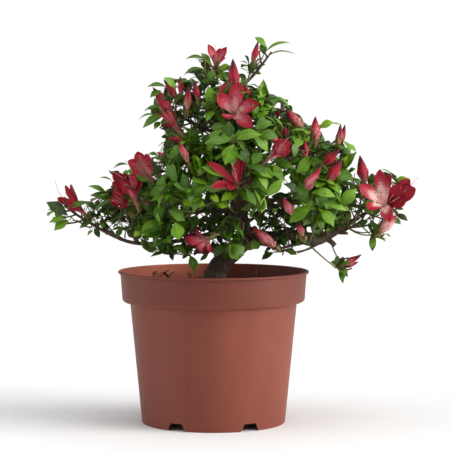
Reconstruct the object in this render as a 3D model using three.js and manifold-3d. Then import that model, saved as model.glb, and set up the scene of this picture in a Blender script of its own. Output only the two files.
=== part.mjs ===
// An azalea shrub in blossom, growing in its round plastic pot.
// Millimetres, +Z up, seen from -Y with +X to the right.
// The origin is the middle of the pot's flat underside, on the surface that it stands on.

import * as THREE from 'three';
import { mergeVertices } from 'three/addons/utils/BufferGeometryUtils.js';
import Module from 'manifold-3d';

const wasm = await Module();
wasm.setup();

const GAP = 0.3; // between neighbouring pieces
const UP = new THREE.Vector3(0, 0, 1);
const GOLDEN_ANGLE = Math.PI * (3 - Math.sqrt(5));

// Pot: a lip, a collar under it, a tapered wall and a floor that stands clear of the ground
const POT_HEIGHT = 191;
const LIP_RADIUS = 120;
const LIP_HEIGHT = 3;
const COLLAR_TOP_RADIUS = 117.4;
const COLLAR_FOOT_RADIUS = 115;
const COLLAR_HEIGHT = 34;
const SHOULDER_DROP = 6;
const BODY_TOP_RADIUS = 105;
const FOOT_RADIUS = 90.5;
const WALL = 2.1;
const FLOOR_UNDERSIDE = 11;
const FLOOR_THICKNESS = 2.2;
const PAD_RADIUS = 38;
const PAD_SLOPE = 6;
const PAD_INSET = 1.3; // keeps the floor as thick on the pad's slope
const COLLAR_ROUND = 2.5;
const LIP_ROUND = 0.6;
const PAST_FACE = 1; // how far a cut runs past the face that it opens
const POT_SIDES = 36;

// Drain notches in the foot of the pot, wider at the ground
const NOTCHES = 6;
const NOTCH_HEIGHT = 9.5;
const NOTCH_FOOT_WIDTH = 26;
const NOTCH_TOP_WIDTH = 16;
const NOTCH_DEPTH = 14;

// Soil: level in the middle, a little lower along the wall
const SOIL_LEVEL = 174;
const SOIL_EDGE_DROP = 2.5;
const SOIL_LEVEL_RADIUS = 62;
const SOIL_CLEARANCE = 0.4;
const SOIL_INSET = 0.2;

// Trunk: centre line and radius, from the flat cut at the soil, past the fork to the tip
const TRUNK_RISE = [
  { at: [0, 0, SOIL_LEVEL - 6], radius: 19 },
  { at: [1, 0, SOIL_LEVEL + 3], radius: 14.6 },
  { at: [4, 0, 189], radius: 13 },
  { at: [11, 0, 202], radius: 12.4 },
  { at: [26, 0, 216], radius: 12.8 },
  { at: [37, 1, 230], radius: 11.2 },
  { at: [38, 4, 246], radius: 9 },
  { at: [34, 5, 262], radius: 8 },
  { at: [22, 5, 300], radius: 6.4 },
  { at: [17, 0, 340], radius: 5 },
  { at: [12, -5, 375], radius: 3.8 },
  { at: [5, -4, 404], radius: 2.8 },
];
const TRUNK_SIDES = 12;
const TRUNK_STEPS = 18;
const FLARE_RIBS = 3;
const FLARE_DEPTH = 0.16;
const FLARE_TOP = SOIL_LEVEL + 22;
const FLARE_TURN = 1;

// Masses of foliage: the middle of each, and how far it reaches along x, y and z
const MASSES = {
  apex_left: { middle: [-4, -5, 440], reach: [31, 28, 30] },
  apex_right: { middle: [68, 8, 458], reach: [29, 26, 25] },
  crown_front: { middle: [32, -52, 386], reach: [38, 34, 40] },
  crown_right: { middle: [80, 5, 388], reach: [33, 36, 33] },
  upper_left: { middle: [-52, -10, 390], reach: [38, 36, 40] },
  right_shoulder: { middle: [138, 0, 343], reach: [36, 38, 37] },
  right_mid: { middle: [125, -48, 286], reach: [39, 38, 35] },
  far_right: { middle: [211, -10, 276], reach: [36, 36, 49] },
  left_shoulder: { middle: [-74, -18, 318], reach: [43, 38, 36] },
  left_mid: { middle: [-114, -8, 278], reach: [38, 36, 31] },
  far_left: { middle: [-180, -4, 266], reach: [30, 28, 28] },
  centre_left: { middle: [-27, -72, 308], reach: [42, 38, 48] },
  centre: { middle: [36, -88, 316], reach: [40, 36, 42] },
  centre_right: { middle: [86, -66, 343], reach: [36, 34, 37] },
  low_left: { middle: [-46, -38, 236], reach: [42, 36, 31] },
  low_front: { middle: [36, -50, 238], reach: [27, 26, 27] },
  under_right: { middle: [82, -18, 219], reach: [25, 20, 17] },
  drop_right: { middle: [163, -12, 195], reach: [22, 20, 20] },
  back_top: { middle: [36, 60, 383], reach: [38, 36, 38] },
  back_left: { middle: [-64, 76, 329], reach: [44, 40, 42] },
  back_right: { middle: [114, 78, 329], reach: [44, 40, 42] },
  back_low_left: { middle: [-85, 66, 258], reach: [42, 36, 33] },
  back_low_right: { middle: [132, 60, 262], reach: [42, 36, 31] },
  back_centre: { middle: [26, 108, 295], reach: [46, 38, 46] },
};

// Boughs: the limb each leaves and how far along it, the mass it ends in, its radius at the
// foot and at the tip, and the places that a bent one passes
const BOUGHS = [
  {
    name: 'right_bough', from: 'trunk', along: 0.33, to: 'far_right', radii: [8.4, 2.6],
    past: [[66, -4, 234], [100, -8, 236], [126, -8, 231], [150, -8, 239]],
    knot: { along: 0.56, radius: 8.6, length: 0.16 },
  },
  {
    name: 'left_low_bough', from: 'trunk', along: 0.37, to: 'far_left', radii: [3.4, 1.9],
    past: [[2, -4, 239], [-42, -5, 229], [-98, -6, 226], [-132, -5, 238]],
  },
  { name: 'under_bough', from: 'right_bough', along: 0.6, to: 'under_right', radii: [2.2, 1.9] },
  { name: 'drop_bough', from: 'right_bough', along: 0.68, to: 'drop_right', radii: [2.2, 1.9] },
  { name: 'back_low_right_bough', from: 'right_bough', along: 0.3, to: 'back_low_right', radii: [3.2, 2] },
  { name: 'left_mid_bough', from: 'left_low_bough', along: 0.66, to: 'left_mid', radii: [2.2, 1.9] },
  { name: 'low_left_bough', from: 'left_low_bough', along: 0.24, to: 'low_left', radii: [2.2, 1.9] },
  { name: 'low_front_bough', from: 'trunk', along: 0.34, to: 'low_front', radii: [2.2, 1.9] },
  { name: 'back_low_left_bough', from: 'trunk', along: 0.42, to: 'back_low_left', radii: [3.4, 2] },
  { name: 'right_mid_bough', from: 'trunk', along: 0.46, to: 'right_mid', radii: [3.6, 2] },
  { name: 'back_centre_bough', from: 'trunk', along: 0.5, to: 'back_centre', radii: [3.4, 2] },
  { name: 'centre_left_bough', from: 'trunk', along: 0.52, to: 'centre_left', radii: [3.4, 2] },
  { name: 'right_shoulder_bough', from: 'trunk', along: 0.54, to: 'right_shoulder', radii: [3.8, 2] },
  { name: 'left_shoulder_bough', from: 'trunk', along: 0.58, to: 'left_shoulder', radii: [3.4, 2] },
  { name: 'back_right_bough', from: 'trunk', along: 0.6, to: 'back_right', radii: [3.4, 2] },
  { name: 'centre_bough', from: 'trunk', along: 0.63, to: 'centre', radii: [3.2, 2] },
  { name: 'back_left_bough', from: 'trunk', along: 0.65, to: 'back_left', radii: [3.2, 2] },
  { name: 'centre_right_bough', from: 'trunk', along: 0.68, to: 'centre_right', radii: [3, 2] },
  { name: 'crown_right_bough', from: 'trunk', along: 0.76, to: 'crown_right', radii: [2.8, 2] },
  { name: 'upper_left_bough', from: 'trunk', along: 0.8, to: 'upper_left', radii: [2.8, 2] },
  { name: 'back_top_bough', from: 'trunk', along: 0.83, to: 'back_top', radii: [2.6, 1.9] },
  { name: 'crown_front_bough', from: 'trunk', along: 0.87, to: 'crown_front', radii: [2.4, 1.9] },
  { name: 'apex_right_bough', from: 'trunk', along: 0.93, to: 'apex_right', radii: [2.2, 1.9] },
];
const BOUGH_SIDES = 5;
const BOUGH_STEP = 26; // length of bough to each ring of faces
const FEWEST_BOUGH_STEPS = 4;
const BOUGH_LEAN = 0.35; // along the limb that it leaves
const BOUGH_SWEEP = 0.35; // of its length, before it turns and after
const BOUGH_ENTRY = 0.86; // of the way from a mass's middle to its edge
const BOUGH_CLEARANCE = 0.33;
const LINE_SAMPLES = 24;

// Stems, twigs and leaves: thicker and larger than life, as they stand for more than there are
const STEM_SIDES = 4;
const STEM_STEPS = 2;
const STEM_REACH = 0.35; // past the mass's middle, of the way to its edge
const STEM_LIFT = 0.2;
const TWIGS = 8;
const FIRST_TWIG = 0.7; // of the way from the stem's foot to the second
const TWIG_RADIUS = 1.4;
const TWIG_SIDES = 3;
const TWIG_TILT = [50, 75];
const TWIG_LIFT = 0.15;
const TWIG_REACH = [0.75, 0.6, 0.46, 0.34]; // of the way to the edge: the longest that has room
const LEAVES = 4;
const FEWEST_LEAVES = 2; // on a twig that is worth its place
const LEAF = { length: 42, width: 26, thickness: 1.3, widest: 0.46, level: 0.5, sides: 3 };
const FULL_LEAF_SIZE = 33; // a mass smaller than this has smaller leaves
const LEAF_TILTS = [30, 60, 70, 80]; // from the twig, first at its tip
const LEAF_STEP = 6; // along the twig, from each leaf to the next
const LEAF_SUNK = 0.5;
const LEAF_DROOP = 0.12;
const TRIES = 24;
const PROBES = 6; // points tested along each twig, leaf and flower
const SEED_STEP = 1000;
const POT_CLEARANCE = 4;
const EDGE = 1.4; // how far past its reach a mass may stand

// Flowers, from where each leaves its twig to the middle of its mouth, or to a bud's tip
const FLOWERS = [
  { kind: 'open', from: [-159, -8, 261], to: [-182, -14, 284] },
  { kind: 'open', from: [-77, -40, 309], to: [-97, -48, 330] },
  { kind: 'half', from: [-103, -20, 302], to: [-127, -28, 315] },
  { kind: 'bud', from: [-97, -35, 281], to: [-116, -40, 306] },
  { kind: 'bud', from: [-93, -35, 285], to: [-99, -38, 316] },
  { kind: 'open', from: [-104, -24, 278], to: [-119, -44, 285] },
  { kind: 'open', from: [31, -104, 303], to: [16, -124, 324] },
  { kind: 'open', from: [28, -60, 380], to: [23, -86, 394] },
  { kind: 'open', from: [216, -34, 264], to: [206, -54, 284] },
  { kind: 'open', from: [220, -22, 277], to: [240, -28, 294] },
  { kind: 'open', from: [-4, -58, 246], to: [-18, -72, 231] },
  { kind: 'half', from: [61, -92, 329], to: [89, -98, 354] },
  { kind: 'bud', from: [-44, -38, 360], to: [-66, -42, 379] },
  { kind: 'bud', from: [-29, -98, 328], to: [-41, -102, 355] },
  { kind: 'bud', from: [217, -30, 244], to: [230, -34, 264] },
  { kind: 'bud', from: [164, -18, 199], to: [183, -24, 213] },
  { kind: 'bud', from: [166, -14, 196], to: [182, -12, 203] },
  { kind: 'bud', from: [-47, -28, 395], to: [-74, -34, 419] },
  { kind: 'bud', from: [-37, -42, 362], to: [-67, -46, 390] },
  { kind: 'bud', from: [-32, -36, 395], to: [-30, -38, 423] },
  { kind: 'bud', from: [-19, -32, 405], to: [-23, -34, 431] },
  { kind: 'bud', from: [-38, -22, 411], to: [-41, -24, 435] },
  { kind: 'bud', from: [-48, -18, 409], to: [-62, -22, 431] },
  { kind: 'bud', from: [6, -10, 445], to: [-5, -12, 473] },
  { kind: 'bud', from: [7, -12, 445], to: [16, -14, 471] },
  { kind: 'bud', from: [48, -6, 453], to: [54, -8, 477] },
  { kind: 'half', from: [24, -36, 426], to: [24, -38, 455] },
  { kind: 'bud', from: [7, -58, 411], to: [18, -62, 429] },
  { kind: 'bud', from: [45, -58, 409], to: [38, -62, 424] },
  { kind: 'bud', from: [111, -30, 368], to: [89, -34, 394] },
  { kind: 'half', from: [126, -32, 352], to: [126, -34, 383] },
  { kind: 'bud', from: [159, -20, 352], to: [159, -22, 375] },
  { kind: 'bud', from: [161, -16, 352], to: [166, -16, 374] },
  { kind: 'bud', from: [131, -44, 327], to: [154, -50, 347] },
  { kind: 'bud', from: [140, -66, 307], to: [156, -70, 334] },
  { kind: 'bud', from: [113, -52, 334], to: [112, -56, 356] },
  { kind: 'bud', from: [109, -78, 293], to: [131, -82, 324] },
  { kind: 'half', from: [191, -30, 300], to: [181, -34, 337] },
  { kind: 'bud', from: [97, -76, 266], to: [84, -82, 287] },
  { kind: 'bud', from: [110, -56, 239], to: [103, -60, 257] },
  { kind: 'half', from: [77, -48, 223], to: [47, -56, 249] },
  { kind: 'bud', from: [79, -82, 350], to: [67, -86, 364] },
  { kind: 'bud', from: [88, -50, 358], to: [88, -54, 374] },
];

// Each mass at the back has this one, turned from +X and raised from level
const BACK_FLOWER = { kind: 'open', turn: 80, rise: 20, bend: 0.3, length: 30 };
const PETALS = 5;
const PETAL_SPAN = [26, 54]; // across the flower, at the notches and at the petals' tips
const PETAL_RISE = [0.72, 1]; // of the flower's depth, at the notches and at the petals' tips
const THROAT = 5;
const BUD_WIDTHS = { bud: 8.5, half: 13 };
const BUD_FORM = { widest: 0.56, level: 0, sides: 4 };
const FLOWER_SUNK = 1;
const FLOWER_HOSTS = 3;
const FLOWER_SIZES = [1, 0.85, 0.7];
const FLOWER_SHIFTS = [0, 0.2, 0.4]; // of the way to the middle of its mass
const FLOWER_FEET = [0.84, 0.64, 0.44, 0.24, 0.92, 0.72, 0.52, 0.32]; // of the way along the stem

const FINISHES = {
  pot: new THREE.MeshStandardMaterial({ color: 0x8a4a3a, roughness: 0.5, metalness: 0 }),
  soil: new THREE.MeshStandardMaterial({ color: 0x3b2a1f, roughness: 1, metalness: 0 }),
  bark: new THREE.MeshStandardMaterial({ color: 0x5d4a3a, roughness: 0.9, metalness: 0 }),
  foliage: new THREE.MeshStandardMaterial({ color: 0x4a7a30, roughness: 0.55, metalness: 0 }),
};

const shrub = new THREE.Group();
shrub.name = 'azalea_shrub';

function vector(numbers) {
  return new THREE.Vector3(...numbers);
}

function radians(degrees) {
  return (degrees * Math.PI) / 180;
}

function mix(low, high, share) {
  return low + (high - low) * share;
}

// Seeded draws between 0 and 1, the same on every run
function stream(seed) {
  let state = seed >>> 0;
  return () => {
    state = (state + 0x6d2b79f5) >>> 0;
    let t = state;
    t = Math.imul(t ^ (t >>> 15), t | 1);
    t ^= t + Math.imul(t ^ (t >>> 7), t | 61);
    return ((t ^ (t >>> 14)) >>> 0) / 4294967296;
  };
}

// Solids

function solidFrom(geometry) {
  const bare = geometry.clone();
  bare.deleteAttribute('normal');
  bare.deleteAttribute('uv');
  const merged = mergeVertices(bare, 1e-4);
  const corners = [];
  for (let i = 0; i < merged.index.count; i += 3) {
    const [a, b, c] = [merged.index.getX(i), merged.index.getX(i + 1), merged.index.getX(i + 2)];
    if (a !== b && b !== c && c !== a) corners.push(a, b, c);
  }
  return new wasm.Manifold(
    new wasm.Mesh({
      numProp: 3,
      vertProperties: Float32Array.from(merged.attributes.position.array),
      triVerts: Uint32Array.from(corners),
    }),
  );
}

function geometryFrom(solid) {
  const mesh = solid.getMesh();
  const geometry = new THREE.BufferGeometry();
  geometry.setAttribute('position', new THREE.BufferAttribute(Float32Array.from(mesh.vertProperties), 3));
  geometry.setIndex(new THREE.BufferAttribute(Uint32Array.from(mesh.triVerts), 1));
  geometry.computeVertexNormals();
  return geometry;
}

// The largest body of a join: loose scraps and sealed hollows are left out
function largestBody(solid) {
  return solid.decompose().reduce((most, body) => (body.volume() > most.volume() ? body : most));
}

function join(solids) {
  return largestBody(solids.reduce((whole, piece) => whole.add(piece)));
}

function addPiece(name, solid, finish) {
  const mesh = new THREE.Mesh(geometryFrom(solid), FINISHES[finish]);
  mesh.name = name;
  shrub.add(mesh);
}

// Pot and soil

function turned(outline) {
  const profile = outline.map(([radius, height]) => new THREE.Vector2(radius, height));
  return solidFrom(new THREE.LatheGeometry(profile, POT_SIDES).rotateX(Math.PI / 2));
}

const SHOULDER_HEIGHT = POT_HEIGHT - COLLAR_HEIGHT - SHOULDER_DROP;
const COLLAR_FOOT = POT_HEIGHT - COLLAR_HEIGHT;
const FLOOR_TOP = FLOOR_UNDERSIDE + FLOOR_THICKNESS;

function wallRadius(height) {
  return mix(FOOT_RADIUS, BODY_TOP_RADIUS, height / SHOULDER_HEIGHT);
}

function collarRadius(height) {
  return mix(COLLAR_FOOT_RADIUS, COLLAR_TOP_RADIUS, (height - COLLAR_FOOT) / COLLAR_HEIGHT);
}

function makePot() {
  const lipFoot = POT_HEIGHT - LIP_HEIGHT;
  const pot = turned([
    [0, 0],
    [PAD_RADIUS, 0],
    [PAD_RADIUS + PAD_SLOPE, FLOOR_UNDERSIDE],
    [wallRadius(FLOOR_UNDERSIDE) - WALL, FLOOR_UNDERSIDE],
    [FOOT_RADIUS - WALL, 0],
    [FOOT_RADIUS, 0],
    [BODY_TOP_RADIUS, SHOULDER_HEIGHT],
    [COLLAR_FOOT_RADIUS - COLLAR_ROUND, SHOULDER_HEIGHT + COLLAR_ROUND],
    [COLLAR_FOOT_RADIUS, COLLAR_FOOT],
    [collarRadius(lipFoot), lipFoot],
    [LIP_RADIUS, lipFoot + LIP_ROUND],
    [LIP_RADIUS, POT_HEIGHT],
    [COLLAR_TOP_RADIUS - LIP_ROUND, POT_HEIGHT],
    [COLLAR_TOP_RADIUS - WALL, lipFoot],
    [COLLAR_FOOT_RADIUS - WALL, COLLAR_FOOT],
    [BODY_TOP_RADIUS - WALL, SHOULDER_HEIGHT + WALL],
    [wallRadius(FLOOR_TOP) - WALL, FLOOR_TOP],
    [PAD_RADIUS + PAD_SLOPE - PAD_INSET, FLOOR_TOP],
    [PAD_RADIUS - PAD_INSET, FLOOR_THICKNESS],
    [0, FLOOR_THICKNESS],
  ]);
  return drainNotches().reduce((whole, notch) => whole.subtract(notch), pot);
}

function drainNotches() {
  const outline = new THREE.Shape([
    new THREE.Vector2(-NOTCH_FOOT_WIDTH / 2, -PAST_FACE),
    new THREE.Vector2(NOTCH_FOOT_WIDTH / 2, -PAST_FACE),
    new THREE.Vector2(NOTCH_TOP_WIDTH / 2, NOTCH_HEIGHT),
    new THREE.Vector2(-NOTCH_TOP_WIDTH / 2, NOTCH_HEIGHT),
  ]);
  return Array.from({ length: NOTCHES }, (_, i) => {
    const notch = new THREE.ExtrudeGeometry(outline, { depth: NOTCH_DEPTH, bevelEnabled: false });
    notch.rotateX(Math.PI / 2);
    notch.translate(0, NOTCH_DEPTH / 2 - FOOT_RADIUS, 0);
    notch.rotateZ(((i + 0.5) * 2 * Math.PI) / NOTCHES);
    return solidFrom(notch);
  });
}

function makeSoil() {
  const away = WALL + SOIL_CLEARANCE;
  const edge = SOIL_LEVEL - SOIL_EDGE_DROP;
  const inset = PAD_INSET + SOIL_INSET;
  return turned([
    [0, FLOOR_THICKNESS + GAP],
    [PAD_RADIUS - inset, FLOOR_THICKNESS + GAP],
    [PAD_RADIUS + PAD_SLOPE - inset, FLOOR_TOP + GAP],
    [wallRadius(FLOOR_TOP) - away, FLOOR_TOP + GAP],
    [BODY_TOP_RADIUS - away, SHOULDER_HEIGHT + WALL + GAP],
    [COLLAR_FOOT_RADIUS - away, COLLAR_FOOT + SOIL_CLEARANCE],
    [collarRadius(edge) - away, edge],
    [SOIL_LEVEL_RADIUS, SOIL_LEVEL],
    [0, SOIL_LEVEL],
  ]);
}

// Limbs: a curve, the radius at each place along it, and a closed tube round it

function tubeAlong(curve, radiusAt, sides, steps, swell = 0) {
  const tube = new THREE.CylinderGeometry(1, 1, 1, sides, steps);
  const frames = curve.computeFrenetFrames(steps, false);
  const places = tube.attributes.position;
  for (let i = 0; i < places.count; i++) {
    const along = places.getY(i) + 0.5;
    const ring = Math.round(along * steps);
    const [across, ahead] = [places.getX(i), -places.getZ(i)];
    const out = new THREE.Vector3()
      .addScaledVector(frames.normals[ring], across)
      .addScaledVector(frames.binormals[ring], ahead);
    const centre = curve.getPointAt(ring / steps);
    const radius = radiusAt(along, centre, out) + swell;
    places.setXYZ(i, ...centre.addScaledVector(out, radius).toArray());
  }
  return solidFrom(tube);
}

function makeLimb(name, curve, radiusAt, sides, steps) {
  const line = Array.from({ length: LINE_SAMPLES + 1 }, (_, i) => {
    const centre = curve.getPointAt(i / LINE_SAMPLES);
    return { centre, radius: radiusAt(i / LINE_SAMPLES, centre, UP) };
  });
  return { name, curve, radiusAt, sides, steps, line };
}

function limbSolid(limb, swell = 0) {
  return tubeAlong(limb.curve, limb.radiusAt, limb.sides, limb.steps, swell);
}

function trunkLimb() {
  const curve = new THREE.CatmullRomCurve3(TRUNK_RISE.map(({ at }) => vector(at)));
  const heights = TRUNK_RISE.map(({ at }) => at[2]);
  const radiusAt = (along, centre, out) => {
    const above = Math.max(1, heights.filter((height) => height < centre.z - 1e-3).length);
    const share = (centre.z - heights[above - 1]) / (heights[above] - heights[above - 1]);
    const plain = mix(TRUNK_RISE[above - 1].radius, TRUNK_RISE[above].radius, share);
    const flare = Math.max(0, (FLARE_TOP - centre.z) / (FLARE_TOP - SOIL_LEVEL));
    const ribs = Math.cos(FLARE_RIBS * Math.atan2(out.y, out.x) - FLARE_TURN);
    return plain * (1 + FLARE_DEPTH * flare * ribs);
  };
  return makeLimb('trunk', curve, radiusAt, TRUNK_SIDES, TRUNK_STEPS);
}

function boughLimb(plan, parent, mass) {
  const foot = parent.curve.getPointAt(plan.along);
  const past = (plan.past ?? []).map(vector);
  const inward = mass.middle.clone().sub(past.at(-1) ?? foot).normalize();
  const tip = mass.middle.clone().addScaledVector(inward, -BOUGH_ENTRY * edgeDistance(mass, inward));
  const length = foot.distanceTo(tip);
  const leaving = inward.clone().lerp(parent.curve.getTangentAt(plan.along), BOUGH_LEAN).normalize();
  const curve = plan.past
    ? new THREE.CatmullRomCurve3([foot, ...past, tip])
    : new THREE.CubicBezierCurve3(
        foot,
        foot.clone().addScaledVector(leaving, length * BOUGH_SWEEP),
        tip.clone().addScaledVector(inward, -length * BOUGH_SWEEP),
        tip,
      );
  const radiusAt = (along) => {
    const plain = mix(plan.radii[0], plan.radii[1], along);
    if (!plan.knot) return plain;
    const off = (along - plan.knot.along) / plan.knot.length;
    return plain + (plan.knot.radius - plain) * Math.exp(-off * off);
  };
  const steps = Math.max(FEWEST_BOUGH_STEPS, Math.round(curve.getLength() / BOUGH_STEP));
  return makeLimb(plan.name, curve, radiusAt, BOUGH_SIDES, plan.knot ? 2 * steps : steps);
}

// Where each mass may grow: inside its own reach, and on its own side of every other mass

function edgeDistance(mass, direction) {
  return 1 / Math.hypot(...['x', 'y', 'z'].map((axis) => direction[axis] / mass.reach[axis]));
}

// The way from a point inside a mass to the edge of its reach
function roomToEdge(mass, point, direction) {
  const start = point.clone().sub(mass.middle).divide(mass.reach);
  const step = direction.clone().divide(mass.reach);
  const [a, b, c] = [step.lengthSq(), start.dot(step), start.lengthSq() - 1];
  return (Math.sqrt(Math.max(0, b * b - a * c)) - b) / a;
}

function power(mass, point) {
  return point.distanceToSquared(mass.middle) - mass.size * mass.size;
}

function roomInCell(mass, point) {
  const own = power(mass, point);
  return Math.min(
    ...masses
      .filter((other) => other !== mass)
      .map((other) => (power(other, point) - own) / (2 * other.middle.distanceTo(mass.middle))),
  );
}

function withinReach(mass, point) {
  const off = point.clone().sub(mass.middle);
  return Math.hypot(off.x / mass.reach.x, off.y / mass.reach.y, off.z / mass.reach.z) < EDGE;
}

function outsidePot(point) {
  return point.z > POT_HEIGHT + POT_CLEARANCE || Math.hypot(point.x, point.y) > LIP_RADIUS + POT_CLEARANCE;
}

// How far a point lies from the nearest limb's surface
function roomToLimbs(point) {
  let least = Infinity;
  const nearest = new THREE.Vector3();
  for (const limb of limbs) {
    for (let i = 1; i < limb.line.length; i++) {
      const [low, high] = [limb.line[i - 1], limb.line[i]];
      new THREE.Line3(low.centre, high.centre).closestPointToPoint(point, true, nearest);
      least = Math.min(least, nearest.distanceTo(point) - Math.max(low.radius, high.radius));
    }
  }
  return least;
}

function mayGrow(mass, corners, spine, halfWidth, inReach = true) {
  return (
    corners.every((point) => roomInCell(mass, point) > GAP && outsidePot(point)) &&
    (!inReach || corners.every((point) => withinReach(mass, point))) &&
    spine.every((point) => roomToLimbs(point) > halfWidth + GAP)
  );
}

function probes(from, to) {
  return Array.from({ length: PROBES }, (_, i) => from.clone().lerp(to, (i + 1) / PROBES));
}

// Two directions square to an axis, the first as level as it can be
function square(axis) {
  const side = Math.abs(axis.z) > 0.98 ? new THREE.Vector3(1, 0, 0) : UP.clone().cross(axis).normalize();
  return [side, axis.clone().cross(side).normalize()];
}

// Blades are double pyramids: a leaf's section is three-sided, with its keel below, a bud's is square

function blade(foot, along, face, form, droop = 0) {
  const side = face.clone().cross(along).normalize();
  const shape = new THREE.SphereGeometry(1, form.sides, 2);
  const places = shape.attributes.position;
  for (let i = 0; i < places.count; i++) {
    const [x, y, z] = [places.getX(i), places.getY(i), places.getZ(i)];
    const onRim = Math.abs(y) < 0.5;
    const out = onRim ? form.widest : y > 0 ? 1 : 0;
    const over = onRim ? (x - form.level) * form.thickness : y > 0 ? -droop * form.length : 0;
    const place = foot
      .clone()
      .addScaledVector(along, form.length * out)
      .addScaledVector(side, onRim ? (z * form.width) / 2 : 0)
      .addScaledVector(face, over);
    places.setXYZ(i, place.x, place.y, place.z);
  }
  return shape;
}

function cornersOf(shape) {
  const places = shape.attributes.position;
  return Array.from({ length: places.count }, (_, i) => new THREE.Vector3().fromBufferAttribute(places, i));
}

function straightTwig(from, to) {
  return tubeAlong(new THREE.LineCurve3(from, to), () => TWIG_RADIUS, TWIG_SIDES, 1);
}

// Twigs leave the stem in a spiral and lean up, each as long as its space allows

function twigPlan(mass, index) {
  const draw = stream(mass.seed * SEED_STEP + index);
  const share = (index + FIRST_TWIG) / TWIGS;
  const foot = mass.stem.getPointAt(share);
  const axis = mass.stem.getTangentAt(share);
  const [side, face] = square(axis);
  const turn = index * GOLDEN_ANGLE + mass.seed;
  const tilt = radians(mix(...TWIG_TILT, draw()));
  const direction = axis
    .multiplyScalar(Math.cos(tilt))
    .addScaledVector(side, Math.sin(tilt) * Math.cos(turn))
    .addScaledVector(face, Math.sin(tilt) * Math.sin(turn))
    .lerp(UP, TWIG_LIFT)
    .normalize();
  return { draw, foot, direction, room: roomToEdge(mass, foot, direction) };
}

function growTwig(mass, index) {
  const { draw, foot, direction, room } = twigPlan(mass, index);
  const lineTo = (reach) => probes(foot, foot.clone().addScaledVector(direction, reach * room));
  const reach = TWIG_REACH.find((way) => mayGrow(mass, lineTo(way), lineTo(way), TWIG_RADIUS));
  if (!reach) return [];
  const tip = foot.clone().addScaledVector(direction, reach * room);
  return [{ foot, tip, direction, draw, solid: straightTwig(foot, tip) }];
}

// Leaves turn about their twig from its tip down, and cross nothing but the twig they are on
function growLeaves(mass, twig, others) {
  const leaves = [];
  const { foot, tip, direction: axis, draw } = twig;
  const [side, face] = square(axis);
  let turn = draw() * 2 * Math.PI;
  for (let i = 0; i < LEAVES && i * LEAF_STEP < foot.distanceTo(tip); i++) {
    for (let attempt = 0; attempt < TRIES; attempt++) {
      turn += GOLDEN_ANGLE;
      const tilt = radians(LEAF_TILTS[i]);
      const out = side.clone().multiplyScalar(Math.cos(turn)).addScaledVector(face, Math.sin(turn));
      const along = axis.clone().multiplyScalar(Math.cos(tilt)).addScaledVector(out, Math.sin(tilt));
      const top = axis.clone().addScaledVector(along, -axis.dot(along)).normalize();
      const root = tip.clone().addScaledVector(axis, -LEAF_STEP * i).addScaledVector(along, -LEAF_SUNK);
      const shape = blade(root, along, top, mass.leaf, LEAF_DROOP);
      const spine = probes(root, root.clone().addScaledVector(along, mass.leaf.length));
      if (!mayGrow(mass, cornersOf(shape), spine, mass.leaf.width / 2)) continue;
      const leaf = solidFrom(shape);
      if (![...others, ...leaves].every((other) => other.intersect(leaf).isEmpty())) continue;
      leaves.push(leaf);
      break;
    }
  }
  return leaves;
}

// Flowers, each on a twig of its own from the stem of the mass whose space it is in

// An open flower is a funnel cut into lobes: its rim swings out to each petal's tip
function funnel(root, axis, depth, size) {
  const shape = new THREE.ConeGeometry(1, 1, 2 * PETALS);
  const places = shape.attributes.position;
  const [side, face] = square(axis);
  for (let i = 0; i < places.count; i++) {
    const [x, y, z] = [places.getX(i), places.getY(i), places.getZ(i)];
    const onRim = Math.hypot(x, z) > 0.5;
    const lobe = Math.round((Math.atan2(x, z) * PETALS) / Math.PI) % 2 === 0;
    const out = onRim ? (size * PETAL_SPAN[lobe ? 1 : 0]) / 2 : 0;
    const ahead = onRim ? depth * PETAL_RISE[lobe ? 1 : 0] : y > 0 ? 0 : THROAT;
    const place = root
      .clone()
      .addScaledVector(axis, ahead)
      .addScaledVector(side, x * out)
      .addScaledVector(face, z * out);
    places.setXYZ(i, place.x, place.y, place.z);
  }
  return shape;
}

function flowerShapes({ kind, from, to, size }) {
  const axis = to.clone().sub(from).normalize();
  const root = from.clone().addScaledVector(axis, -FLOWER_SUNK);
  if (kind === 'open') return [funnel(root, axis, from.distanceTo(to), size)];
  const width = BUD_WIDTHS[kind] * size;
  const form = { ...BUD_FORM, length: from.distanceTo(to) + FLOWER_SUNK, width, thickness: width / 2 };
  return [blade(root, axis, square(axis)[1], form)];
}

function flowerFits(mass, flower, foot) {
  const stalk = probes(foot, flower.from);
  const corners = [...stalk, ...flowerShapes(flower).flatMap(cornersOf)];
  const spine = [...stalk, ...probes(flower.from, flower.to)];
  return mayGrow(mass, corners, spine, TWIG_RADIUS, false);
}

// A flower grows from the nearest mass that has room for it, moved in or smaller where it must be
function placeFlower({ kind, from, to }) {
  const middle = from.clone().lerp(to, 0.5);
  const near = [...masses].sort((a, b) => power(a, middle) - power(b, middle)).slice(0, FLOWER_HOSTS);
  for (const shift of FLOWER_SHIFTS) {
    for (const [mass, size] of near.flatMap((mass) => FLOWER_SIZES.map((size) => [mass, size]))) {
      const inward = mass.middle.clone().sub(middle).multiplyScalar(shift);
      const start = from.clone().add(inward);
      const end = start.clone().addScaledVector(to.clone().sub(from), size);
      const flower = { kind, from: start, to: end, size };
      const feet = FLOWER_FEET.map((share) => mass.stem.getPointAt(share));
      const open = feet.filter((place) => mass.flowers.every(({ foot }) => !foot.equals(place)));
      const foot = open.find((place) => flowerFits(mass, flower, place));
      if (!foot) continue;
      mass.flowers.push({ ...flower, foot });
      return;
    }
  }
}

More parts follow.
